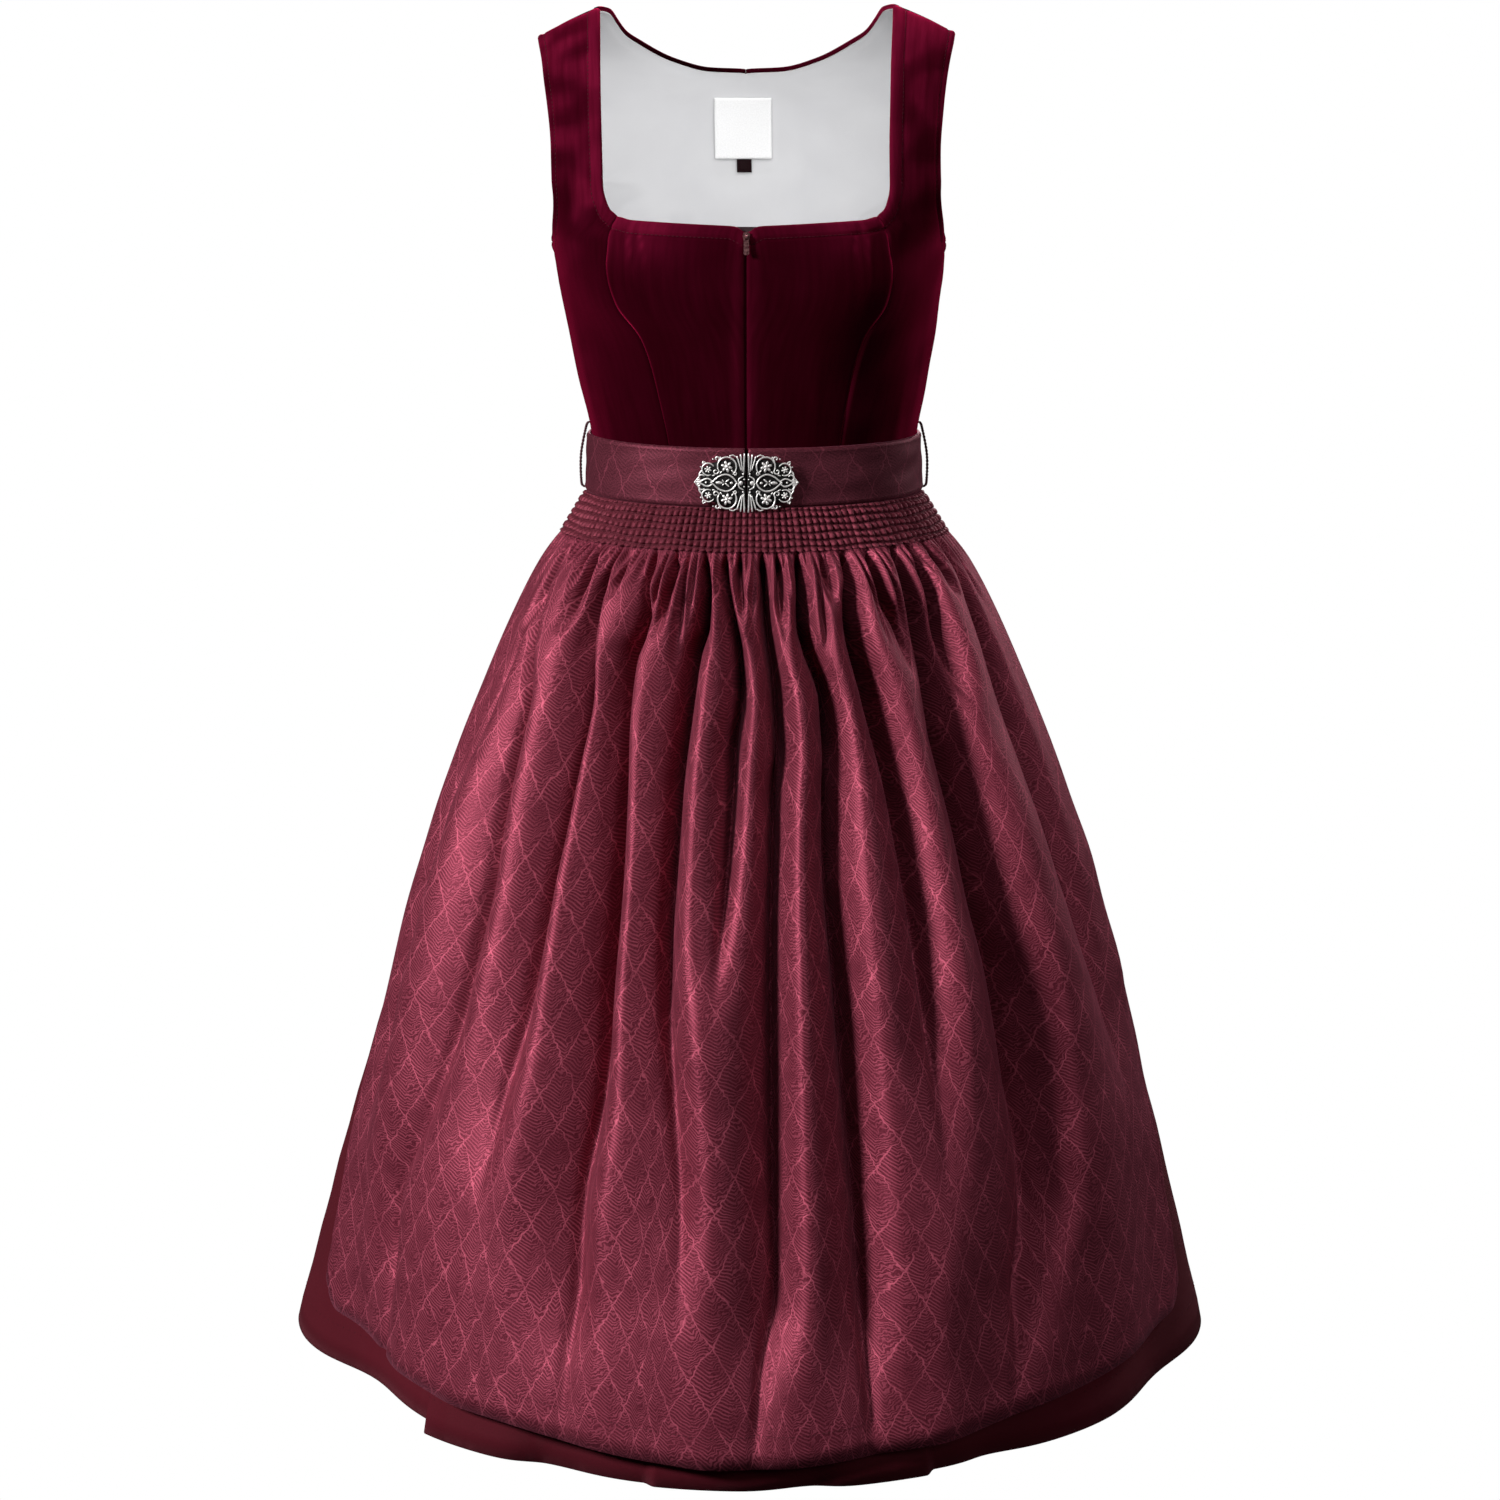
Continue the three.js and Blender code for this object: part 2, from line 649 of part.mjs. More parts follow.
add('apron_panel', wall([grid(apronColumns, apronDrops.length - 1, (column, row) => {
  const share = 2 * column / apronColumns - 1;
  const drop = apronDrops[row] - (row === apronDrops.length - 1 ? apronHemLift(share) : 0);
  const azimuth = share * read(apronEdge, 'azimuth', drop);
  const gather = read(gatherDepth, 'apron', drop) * (column % 2);
  return apronPair(azimuth, drop, apronRise(azimuth, drop) + gather);
})]), jacquard);

// Belt: one band that goes once round the waist, and its two ends stay apart under the clasp.
const beltColumns = 56;
const beltGap = 0.6;
add('belt', wall([grid(beltColumns, 1, (column, row) => {
  const height = [beltTop, beltBottom][row];
  const level = section(beltSections, height);
  const closure = Math.asin((closureX - level.sway) / level.halfWidth) / DEGREE;
  const azimuth = closure + THREE.MathUtils.lerp(beltGap, 360 - beltGap, column / beltColumns);
  return {
    outer: planPoint(level, azimuth, 0, height),
    inner: planPoint(level, azimuth, -beltThickness, height),
  };
})]), jacquard);

// Clasp: two pierced plates with a scalloped rim, each with a flower boss and two corner rosettes.
// They are drawn flat, reach is away from the closure and rise is up, and then laid on the belt.
const claspHalf = {
  reach: 36.4, halfHeight: 20.6, power: 2.5, scallop: 1, scallops: 6.5, thickness: 1.8,
  centreHeight: 11.5, clear: 3, gap: 0.3, rimPoints: 44,
};
const claspOpenings = table(
  ['reach', 'rise', 'halfReach', 'halfRise'],
  [
    [5, 0, 1.6, 2.7],
    [20.6, 0, 1.7, 2.5],
    [12.8, 6.7, 3.4, 1.5],
    [12.8, -6.7, 3.4, 1.5],
    [4.6, 8.4, 1.7, 2.2],
    [4.6, -8.4, 1.7, 2.2],
    [12.4, 13.2, 2.7, 1.8],
    [12.4, -13.2, 2.7, 1.8],
    [27, 4.4, 2.1, 2.1],
    [27, -4.4, 2.1, 2.1],
    [32.4, 0, 1.6, 2],
  ],
);
const claspBosses = table(
  ['reach', 'rise', 'radius', 'height'],
  [[12.8, 0, 4, 2.6], [21.4, 11.4, 3.6, 2], [21.4, -11.4, 3.6, 2]],
);

function claspShape() {
  const rim = [new THREE.Vector2(claspHalf.gap / 2, claspHalf.halfHeight)];
  for (let index = 1; index < claspHalf.rimPoints; index += 1) {
    const turn = Math.PI * (0.5 - index / claspHalf.rimPoints);
    const wave = claspHalf.scallop * Math.abs(Math.cos(turn * claspHalf.scallops));
    const forward = Math.cos(turn);
    const up = Math.sin(turn);
    rim.push(new THREE.Vector2(
      claspHalf.gap / 2 + (claspHalf.reach + wave) * forward ** (2 / claspHalf.power),
      (claspHalf.halfHeight + wave) * Math.sign(up) * Math.abs(up) ** (2 / claspHalf.power),
    ));
  }
  rim.push(new THREE.Vector2(claspHalf.gap / 2, -claspHalf.halfHeight));
  const shape = new THREE.Shape(rim.reverse());
  for (const opening of claspOpenings) {
    const hole = new THREE.Path();
    hole.absellipse(opening.reach, opening.rise, opening.halfReach, opening.halfRise, 0, 2 * Math.PI, false);
    shape.holes.push(new THREE.Path(hole.getPoints(8).slice(0, 8)));
  }
  return shape;
}

// A boss is a low dome with a dimple in its middle, and starts inside the plate.
const bossProfile = table(['radius', 'height'], [[1, 0.3], [0.6, 0.75], [0, 0.55]]);

function bossGeometry({ reach, rise, radius, height }) {
  const sunk = 0.8;
  const profile = [
    new THREE.Vector2(0, 0),
    new THREE.Vector2(radius, 0),
    ...bossProfile.map((ring) => new THREE.Vector2(radius * ring.radius, sunk + height * ring.height)),
  ];
  const dome = new THREE.LatheGeometry(profile, 10);
  dome.rotateX(Math.PI / 2);
  return dome.translate(reach, rise, claspHalf.thickness - sunk);
}

function beltFace(x, height) {
  const level = section(beltSections, height);
  const share = (x - level.sway) / level.halfWidth;
  return -level.front * Math.sqrt(1 - share * share);
}

function layOnBelt(geometry, side) {
  const position = geometry.attributes.position;
  for (let index = 0; index < position.count; index += 1) {
    const x = closureX + side * position.getX(index);
    const height = claspHalf.centreHeight + position.getY(index);
    const seat = beltFace(x, THREE.MathUtils.clamp(height, beltBottom, beltTop));
    position.setXYZ(index, x, seat - claspHalf.clear - position.getZ(index), height);
  }
  const points = [];
  const faces = [];
  for (let index = 0; index < position.count; index += 1) {
    points.push(new THREE.Vector3().fromBufferAttribute(position, index));
  }
  const corners = Array.from(geometry.index.array);
  for (let index = 0; index < corners.length; index += 3) faces.push(corners.slice(index, index + 3));
  return closedGeometry(points, faces);
}

for (const [name, side] of sides) {
  const plate = new THREE.ExtrudeGeometry(claspShape(), { depth: claspHalf.thickness, bevelEnabled: false });
  add(`clasp_${name}`, layOnBelt(joined([plate, ...claspBosses.map(bossGeometry)]), side), oldSilver);
}

// Thread loops at the side seams stand a little off the belt that they hold.
const loop = {
  radius: 0.6, top: 43, bottom: beltBottom + 1, standOff: 3.4, bow: 0.6, slack: 0.4, bend: 4, steps: 16,
  sides: 6,
};

function loopGeometry(side) {
  const seat = (height, off) => {
    const level = height > beltTop ? section(bodiceSections, height) : section(beltSections, height);
    return new THREE.Vector3(level.sway + side * (level.halfWidth + off), 0, height);
  };
  const route = new THREE.CatmullRomCurve3([
    seat(loop.top, loop.radius + seamGap),
    seat(loop.top - loop.bend, loop.standOff),
    seat((loop.top + loop.bottom) / 2, loop.standOff + loop.bow),
    seat(loop.bottom + loop.bend, loop.standOff - loop.slack),
    seat(loop.bottom, loop.radius + seamGap),
  ]);
  const ring = new THREE.Shape();
  ring.absarc(0, 0, loop.radius, 0, 2 * Math.PI, false);
  const outline = new THREE.Shape(ring.getPoints(loop.sides).slice(0, loop.sides));
  return new THREE.ExtrudeGeometry(outline, { extrudePath: route, steps: loop.steps });
}

for (const [name, side] of sides) add(`loop_${name}`, loopGeometry(side), threadCord);

dirndl.position.z = -shoulderHold;

export default dirndl;
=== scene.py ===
import math

import bpy
import numpy as np
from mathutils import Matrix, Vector


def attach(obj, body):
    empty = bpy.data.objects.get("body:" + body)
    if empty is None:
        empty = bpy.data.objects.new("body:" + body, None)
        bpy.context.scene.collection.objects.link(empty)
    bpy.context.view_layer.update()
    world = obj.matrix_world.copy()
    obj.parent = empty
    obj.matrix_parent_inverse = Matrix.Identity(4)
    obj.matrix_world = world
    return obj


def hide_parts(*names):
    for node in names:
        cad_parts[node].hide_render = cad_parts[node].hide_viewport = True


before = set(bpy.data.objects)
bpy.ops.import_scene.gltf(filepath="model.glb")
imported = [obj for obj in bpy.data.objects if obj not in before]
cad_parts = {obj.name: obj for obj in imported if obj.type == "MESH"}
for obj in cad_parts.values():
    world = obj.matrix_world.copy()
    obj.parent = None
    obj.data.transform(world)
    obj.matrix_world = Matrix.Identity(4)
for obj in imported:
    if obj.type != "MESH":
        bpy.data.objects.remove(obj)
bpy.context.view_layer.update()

# Studio: the photograph's view from a little above, an even white ground under the dress, a big soft
# light from the left front, weak ones that open up the right side and the back, and one for the lining.
CAMERA_DISTANCE = 2.619
CAMERA_HEIGHT = 0.044
CAMERA_PITCH = 12.78
FOCAL_LENGTH = 83.57
GROUND_HEIGHT = -1.43
GROUND_SIZE = 60.0
AMBIENT = 0.03

scene = bpy.context.scene
scene.view_settings.view_transform = "Standard"
scene.render.film_transparent = False

eye = bpy.data.cameras.new("photograph")
eye.sensor_width = 36.0
eye.lens = FOCAL_LENGTH
camera = bpy.data.objects.new("photograph", eye)
camera.location = (0, -CAMERA_DISTANCE, CAMERA_HEIGHT)
camera.rotation_euler = (math.radians(90 - CAMERA_PITCH), 0, 0)
scene.collection.objects.link(camera)
scene.camera = camera

studio = bpy.data.worlds.new("studio")
studio.use_nodes = True
scene.world = studio
air = studio.node_tree
air.nodes.clear()
world_output = air.nodes.new("ShaderNodeOutputWorld")
seen = air.nodes.new("ShaderNodeBackground")
lighting = air.nodes.new("ShaderNodeBackground")
lighting.inputs["Strength"].default_value = AMBIENT
ray = air.nodes.new("ShaderNodeLightPath")
either = air.nodes.new("ShaderNodeMixShader")
seen.inputs["Color"].default_value = (1, 1, 1, 1)
air.links.new(ray.outputs["Is Camera Ray"], either.inputs[0])
air.links.new(lighting.outputs[0], either.inputs[1])
air.links.new(seen.outputs[0], either.inputs[2])
air.links.new(either.outputs[0], world_output.inputs[0])

ground_mesh = bpy.data.meshes.new("ground")
half = GROUND_SIZE / 2
ground_mesh.from_pydata(
    [(-half, -half, GROUND_HEIGHT), (half, -half, GROUND_HEIGHT),
     (half, half, GROUND_HEIGHT), (-half, half, GROUND_HEIGHT)],
    [], [(0, 1, 2, 3)])
ground = bpy.data.objects.new("ground", ground_mesh)
scene.collection.objects.link(ground)
paper = bpy.data.materials.new("white backlit ground")
paper.use_nodes = True
backlit = paper.node_tree.nodes["Principled BSDF"]
backlit.inputs["Base Color"].default_value = (0, 0, 0, 1)
backlit.inputs["Specular IOR Level"].default_value = 0
backlit.inputs["Emission Color"].default_value = (1, 1, 1, 1)
backlit.inputs["Emission Strength"].default_value = 1.0
ground_mesh.materials.append(paper)
ground.visible_diffuse = False
ground.visible_glossy = False

LIGHTS = [
    # name, place, aim, width, strength
    ("key from the left front", (-2.9, -1.9, 1.2), (0, 0, -0.5), 0.7, 184),
    ("fill from the right front", (2.3, -1.9, 0.6), (0, 0, -0.3), 1.2, 16),
    ("rim from the right", (2.0, 1.3, 0.4), (0, 0, -0.3), 0.9, 17),
    ("top", (0.0, -0.25, 2.0), (0, 0, -0.3), 0.8, 20),
    ("back", (0.4, 2.8, 0.9), (0, 0, -0.4), 1.6, 45),
    ("into the neck", (0.1, -2.0, 0.38), (0, 0.05, -0.12), 2.4, 62),
]
lamps = {}
for name, place, aim, width, strength in LIGHTS:
    lamp = bpy.data.lights.new(name, "AREA")
    lamp.size = width
    lamp.energy = strength
    holder = bpy.data.objects.new(name, lamp)
    holder.location = place
    direction = Vector(aim) - Vector(place)
    holder.rotation_euler = direction.to_track_quat("-Z", "Y").to_euler()
    scene.collection.objects.link(holder)
    lamps[name] = holder
inside = bpy.data.collections.new("lit through the neck")
lamps["into the neck"].light_linking.receiver_collection = inside
lamps["into the neck"].light_linking.blocker_collection = inside
out_of_key = bpy.data.collections.new("out of the key light")
lamps["key from the left front"].light_linking.receiver_collection = out_of_key


def light_through_neck(piece):
    """What lies inside the neck is lit evenly, by its own lamp in place of the key."""
    inside.objects.link(piece)
    out_of_key.objects.link(piece)
    out_of_key.collection_objects[-1].light_linking.link_state = "EXCLUDE"


# Bodice: six velvet panels, each faced with its own cotton, stitched at the princess, side and back
# seams, turned in round the neck and armholes and topstitched there.
MILLIMETRE = 0.001
SHOULDER_HOLD = 339.0
VELVET = 2.0
WAIST_END = -1.7
SHOULDER_SEAM = 371.7
NECK_FRONT = 199.0
CLOSURE_X = -2.6
BUST_SWELL, BUST_AZIMUTH, BUST_TURN, BUST_PATH, BUST_REACH = 6, 37, 20, 148, 34
DROOP_START, DROOP_WIDTH = 40, 116


def table(names, rows):
    """Measures by name, one array for each column."""
    return dict(zip(names.split(), np.array(rows, float).T))


def read(rows, name, at):
    """The smooth curve of one column, at places along the table's first column."""
    x, y = rows[next(iter(rows))], rows[name]
    steps = np.diff(y) / np.diff(x)
    slopes = np.concatenate([steps[:1], np.zeros(len(x) - 2), steps[-1:]])
    total = steps[:-1] + steps[1:]
    same_way = steps[:-1] * steps[1:] > 0
    slopes[1:-1][same_way] = 2 * (steps[:-1] * steps[1:])[same_way] / total[same_way]
    at = np.asarray(at, float)
    low = np.clip(np.searchsorted(x, at, side="left") - 1, 0, len(x) - 2)
    span = x[low + 1] - x[low]
    t = np.clip((at - x[low]) / span, 0, 1)
    start = y[low] * (2 * t**3 - 3 * t**2 + 1) + slopes[low] * span * (t**3 - 2 * t**2 + t)
    end = y[low + 1] * (3 * t**2 - 2 * t**3) + slopes[low + 1] * span * (t**3 - t**2)
    return start + end


def plan_points(rows, at, azimuth, growth, height):
    """Points of level sections: azimuth is in degrees from the front, growth is outwards."""
    across, forward = np.sin(np.radians(azimuth)), np.cos(np.radians(azimuth))
    roundness = 2 / (read(rows, "power", at) if "power" in rows else 2)
    depth = np.where(forward >= 0, read(rows, "front", at), read(rows, "back", at))
    x = (read(rows, "half_width", at) + growth) * np.sign(across) * np.abs(across) ** roundness
    y = -(depth + growth) * np.sign(forward) * np.abs(forward) ** roundness
    return np.stack(np.broadcast_arrays(read(rows, "sway", at) + x, y, height), axis=-1)


def hump(offset, reach):
    return np.exp(-((offset / reach) ** 2))


def eased(value):
    t = np.clip(value, 0, 1)
    return t * t * (3 - 2 * t)


bodice_form = table("path height half_width front back droop sway", [
    [-10, -10, 119, 91, 84, 0, 3], [0, 0, 119, 91, 84, 0, 3], [36, 36, 123, 94, 86, 0, 3],
    [75, 75, 131, 99, 88, 0, 2.5], [110, 110, 137, 107, 90, 0, 2],
    [150, 150, 143.5, 113, 93, 0, 0.5], [176, 176, 147, 112, 95, 0, -1],
    [200, 200, 157, 106, 95, 0, -1.8], [225, 225, 165, 100, 95, 0, -2.6],
    [270, 271, 165, 85, 90, 6, -3.2], [305, 308, 165, 64, 78, 14, -3.2],
    [335, 337, 165, 42, 53, 24, -2.8], [355, 353, 165, 22, 30, 31, -2.6],
    [372, 362, 165, 0, 0, 34, -2.6], [380, 362, 165, -10, -14, 34, -2.6]])


def bodice_points(azimuth, path):
    swell = BUST_SWELL * hump(np.abs(azimuth) - BUST_AZIMUTH, BUST_TURN) * hump(path - BUST_PATH, BUST_REACH)
    points = plan_points(bodice_form, path, azimuth, swell, read(bodice_form, "height", path))
    past_neck = np.maximum(0, np.abs(points[..., 0]) - DROOP_START) / DROOP_WIDTH
    points[..., 2] -= read(bodice_form, "droop", path) * past_neck**2
    return points


def bodice_normals(azimuth, path):
    step = 0.2
    along = bodice_points(azimuth + step, path) - bodice_points(azimuth - step, path)
    upward = bodice_points(azimuth, np.minimum(path + step, 380)) - bodice_points(azimuth, path - step)
    normals = np.cross(along, upward)
    return normals / np.linalg.norm(normals, axis=-1, keepdims=True)


def closure_azimuth(path):
    share = (CLOSURE_X - read(bodice_form, "sway", path)) / read(bodice_form, "half_width", path)
    return np.degrees(np.arcsin(share))


def wall(outer, inner):
    """Points and faces of a closed wall between two grids: the outer side's faces come first."""
    rows, columns = outer.shape[:2]
    count = rows * columns
    points = np.concatenate([outer.reshape(-1, 3), inner.reshape(-1, 3)])
    at = np.arange(count).reshape(rows, columns)
    face = np.stack([at[:-1, :-1], at[:-1, 1:], at[1:, 1:], at[1:, :-1]], -1).reshape(-1, 4)
    ring = np.concatenate([at[0, :], at[1:, -1], at[-1, -2::-1], at[-2:0:-1, 0]])
    after = np.roll(ring, -1)
    rim = np.stack([ring, ring + count, after + count, after], -1)
    faces = np.concatenate([face, face[:, ::-1] + count, rim])
    volume = np.einsum("ij,ij->i", points[faces[:, 0]], np.cross(
        points[faces[:, 1]] - points[faces[:, 0]], points[faces[:, 2]] - points[faces[:, 0]])).sum()
    return points, faces[:, ::-1] if volume < 0 else faces


EDGE_RINGS = 2


def cloth_mesh(name, outer, inner, flat, materials):
    """A wall of cloth between two grids of points in millimetres, with its cut's own flat measures.

    A second material faces the inner side, a few rings of faces in from the edge."""
    rows, columns = outer.shape[:2]
    points, faces = wall(outer, inner)
    points = (points - (0, 0, SHOULDER_HOLD)) * MILLIMETRE
    mesh = bpy.data.meshes.new(name)
    mesh.from_pydata(points.tolist(), [], faces.tolist())
    mesh.polygons.foreach_set("use_smooth", np.arange(len(faces)) < 2 * (rows - 1) * (columns - 1))
    both = np.concatenate([flat.reshape(-1, 2), flat.reshape(-1, 2)]) * MILLIMETRE
    layer = mesh.uv_layers.new(name="cloth")
    layer.data.foreach_set("uv", both[faces.reshape(-1)].astype(np.float32).reshape(-1))
    for material in materials:
        mesh.materials.append(material)
    if len(materials) > 1:
        faced = np.zeros((rows - 1, columns - 1), bool)
        faced[EDGE_RINGS:-EDGE_RINGS, EDGE_RINGS:-EDGE_RINGS] = True
        chosen = np.zeros(len(faces), np.int32)
        chosen[faced.size:2 * faced.size] = faced.reshape(-1)
        mesh.polygons.foreach_set("material_index", chosen)
    mesh.update()
    piece = bpy.data.objects.new(name, mesh)
    scene.collection.objects.link(piece)
    return piece


def lengths(points, axis):
    return np.linalg.norm(np.diff(points, axis=axis), axis=-1).sum(axis=axis)


def flat_size(points):
    """The longest way across a grid and the longest along it, in metres."""
    return lengths(points, 1).max() * MILLIMETRE, lengths(points, 0).max() * MILLIMETRE


def surface_area(points):
    """The area of a grid, in square metres."""
    one, two = points[1:, 1:] - points[:-1, :-1], points[1:, :-1] - points[:-1, 1:]
    return np.linalg.norm(np.cross(one, two), axis=-1).sum() / 2 * MILLIMETRE**2


def as_cloth(piece, stands_for, slot, **cut):
    """A piece of cloth of its own cut, in place of the plain solid that it stands for."""
    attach(piece, "dress")
    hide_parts(stands_for)


def flat_measures(points):
    """Flat places of a grid's points: across and along the cloth, from arc lengths."""
    across = np.linalg.norm(np.diff(points, axis=1), axis=-1).cumsum(axis=1)
    along = np.linalg.norm(np.diff(points, axis=0), axis=-1).cumsum(axis=0)
    across = np.pad(across, ((0, 0), (1, 0)))
    along = np.pad(along, ((1, 0), (0, 0)))
    return np.stack([across - across[:, -1:] / 2, along], axis=-1)


def distance_to(points, line):
    gaps = points.reshape(-1, 1, 3) - line.reshape(1, -1, 3)
    return np.linalg.norm(gaps, axis=-1).min(axis=1).reshape(points.shape[:-1])


def tube(points, radii, reference, sides=8):
    """Points and faces of a round wire along a path, with closed rounded ends."""
    points = np.asarray(points, float)
    radii = np.broadcast_to(np.asarray(radii, float), (len(points),))
    tangents = np.gradient(points, axis=0)
    tangents /= np.linalg.norm(tangents, axis=1, keepdims=True)
    sideways = np.cross(tangents, reference)
    sideways /= np.linalg.norm(sideways, axis=1, keepdims=True)
    upward = np.cross(sideways, tangents)
    ends = [points[0] - tangents[0] * radii[0] * 0.6, points[-1] + tangents[-1] * radii[-1] * 0.6]
    turn = np.linspace(0, 2 * np.pi, sides, endpoint=False)
    ring = points[:, None] + radii[:, None, None] * (
        np.cos(turn)[None, :, None] * sideways[:, None] + np.sin(turn)[None, :, None] * upward[:, None])
    count = len(points)
    at = np.arange(count * sides).reshape(count, sides)
    after = np.roll(at, -1, axis=1)
    faces = np.stack([at[:-1], after[:-1], after[1:], at[1:]], -1).reshape(-1, 4).tolist()
    faces += [[after[0, k], at[0, k], count * sides] for k in range(sides)]
    faces += [[at[-1, k], after[-1, k], count * sides + 1] for k in range(sides)]
    return np.concatenate([ring.reshape(-1, 3), ends]), faces


def assembled(name, parts, material):
    """One piece on the dress made of several parts, each of them points in millimetres with their faces."""
    points, faces, start = [], [], 0
    for part_points, part_faces in parts:
        points.append(part_points)
        faces += [[int(corner) + start for corner in face] for face in part_faces]
        start += len(part_points)
    points = (np.concatenate(points) - (0, 0, SHOULDER_HOLD)) * MILLIMETRE
    mesh = bpy.data.meshes.new(name)
    mesh.from_pydata(points.tolist(), [], faces)
    mesh.polygons.foreach_set("use_smooth", np.ones(len(faces), bool))
    mesh.materials.append(material)
    mesh.update()
    piece = bpy.data.objects.new(name, mesh)
    scene.collection.objects.link(piece)
    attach(piece, "dress")
    return piece


def line_at(points, gap, value):
    """Places and outward normals where each row of a grid comes as near to an edge as value."""
    normals = np.cross(np.gradient(points, axis=1), np.gradient(points, axis=0))
    normals /= np.linalg.norm(normals, axis=-1, keepdims=True) + 1e-9
    normals *= np.sign((normals[..., :2] * points[..., :2]).sum(axis=-1, keepdims=True))
    line = []
    for spots, ups, gaps in zip(points, normals, gap):
        near = np.nonzero(gaps < value)[0]
        if near.size and near[0]:
            k = near[0]
            t = (gaps[k - 1] - value) / (gaps[k - 1] - gaps[k])
            line.append(np.concatenate([spots[k - 1] * (1 - t) + spots[k] * t, ups[k]]))
    return np.array(line)


def stitches(line, pitch=3.2, length=2.2, radius=0.24):
    """Short stitches along a line on the cloth. Each dips into the cloth at both ends."""
    along = np.concatenate([[0], np.linalg.norm(np.diff(line[:, :3], axis=0), axis=1).cumsum()])
    starts = np.arange(0.4, along[-1] - length, pitch)
    places = starts[:, None] + np.linspace(0, length, 5)
    spots = np.stack([np.interp(places, along, line[:, k]) for k in range(6)], -1)
    spots[..., :3] += spots[..., 3:] * (radius * np.array([-0.7, 0.45, 0.7, 0.45, -0.7])[None, :, None])
    return [tube(spot[:, :3], radius, spot[2, 3:], sides=5) for spot in spots]


def unevenness(seed, count, azimuth, path, slowest, fastest):
    """A sum of seeded waves, for cloth that never lies quite flat."""
    draws = np.random.default_rng(seed)
    total = np.zeros(np.broadcast(azimuth, path).shape)
    for _ in range(count):
        turns, rise, phase = draws.uniform(slowest, fastest), draws.uniform(-1, 1), draws.uniform(0, 6.28)
        total += np.sin(turns * azimuth / 57.3 * 6.28 / 6 + rise * turns * path / 60 + phase)
    return total / math.sqrt(count)


def shader(name):
    material = bpy.data.materials.new(name)
    material.use_nodes = True
    return material, material.node_tree, material.node_tree.nodes["Principled BSDF"]


def node(tree, kind, settings=None, **inputs):
    """One shader node. Inputs are values or other nodes' outputs, by socket name."""
    made = tree.nodes.new(kind)
    for key, value in (settings or {}).items():
        setattr(made, key, value)
    for key, value in inputs.items():
        socket = made.inputs[key.replace("_", " ")]
        if isinstance(value, bpy.types.NodeSocket):
            tree.links.new(value, socket)
        else:
            socket.default_value = value
    return made


def math_node(tree, operation, *values, clamp=False):
    made = tree.nodes.new("ShaderNodeMath")
    made.operation = operation
    made.use_clamp = clamp
    for socket, value in zip(made.inputs, values):
        if isinstance(value, bpy.types.NodeSocket):
            tree.links.new(value, socket)
        else:
            socket.default_value = value
    return made.outputs[0]


def ramp(tree, value, stops):
    made = tree.nodes.new("ShaderNodeValToRGB")
    tree.links.new(value, made.inputs[0])
    elements = made.color_ramp.elements
    while len(elements) < len(stops):
        elements.new(0.5)
    for element, (place, colour) in zip(elements, stops):
        element.position = place
        element.color = (*colour, 1)
    return made.outputs[0]


def coloured(tree, principled, value, stops, socket="Base Color"):
    """A ramp over a value feeds one of the shader's sockets."""
    tree.links.new(ramp(tree, value, stops), principled.inputs[socket])


def bumped(tree, principled, height, strength, distance):
    bump = node(tree, "ShaderNodeBump", Strength=strength, Distance=distance, Height=height)
    tree.links.new(bump.outputs[0], principled.inputs["Normal"])


def constants(principled, **values):
    """Values that stand on the shader's own sockets."""
    for name, value in values.items():
        principled.inputs[name.replace("_", " ")].default_value = value


def effect(name, inputs, outputs):
    """An empty node group with named sockets, and the sockets of its two ends."""
    group = bpy.data.node_groups.new(name, "ShaderNodeTree")
    for socket, kind, value in inputs:
        made = group.interface.new_socket(socket, in_out="INPUT", socket_type=kind)
        if value is not None:
            made.default_value = value
    for socket, kind in outputs:
        group.interface.new_socket(socket, in_out="OUTPUT", socket_type=kind)
    return group, group.nodes.new("NodeGroupInput").outputs, group.nodes.new("NodeGroupOutput").inputs


def placed(tree, group, **inputs):
    """A node group put into a material with its own values."""
    return node(tree, "ShaderNodeGroup", {"node_tree": group}, **inputs)


# Threads of a plain weave, from the cloth's own flat measures in metres.
weave, given, result = effect(
    "plain weave",
    [("Cloth", "NodeSocketVector", None), ("Thread", "NodeSocketFloat", 0.0006)],
    [("Height", "NodeSocketFloat"), ("Fleck", "NodeSocketFloat")])
parts = node(weave, "ShaderNodeSeparateXYZ", Vector=given["Cloth"]).outputs
warp = math_node(weave, "SINE", math_node(weave, "DIVIDE", math_node(
    weave, "MULTIPLY", parts[0], 2 * math.pi), given["Thread"]))
weft = math_node(weave, "SINE", math_node(weave, "DIVIDE", math_node(
    weave, "MULTIPLY", parts[1], 2 * math.pi), given["Thread"]))
weave.links.new(math_node(weave, "MULTIPLY", warp, weft), result["Height"])
slubs = node(weave, "ShaderNodeTexNoise", Vector=given["Cloth"], Scale=900.0, Detail=2.0)
weave.links.new(slubs.outputs[0], result["Fleck"])

velvet, tree, principled = shader("crimson velvet")
flat = node(tree, "ShaderNodeUVMap").outputs[0]
patches = node(tree, "ShaderNodeTexNoise", Vector=flat, Scale=9.0, Detail=3.0, Roughness=0.55)
# The fine noise of the pile, used only as a bump.
nap_and_painted_sheen = node(tree, "ShaderNodeTexNoise", Vector=flat, Scale=2600.0, Detail=1.0)
brushed = node(tree, "ShaderNodeTexNoise", Scale=1.0, Detail=2.0, Vector=node(
    tree, "ShaderNodeMapping", Vector=flat, Scale=(240, 22, 1)).outputs[0])
tone = math_node(tree, "ADD", math_node(tree, "MULTIPLY", patches.outputs[0], 0.65),
                 math_node(tree, "MULTIPLY", brushed.outputs[0], 0.35))
# Painted sheen: the velvet's own dark crimson is mixed towards a lighter crimson by a point attribute, which
# paints highlights on the straps, flanks, corners and edge bands.
unsheened_colour = ramp(tree, tone, [(0.36, (0.011, 0.0001, 0.0014)), (0.68, (0.026, 0.0004, 0.0040))])
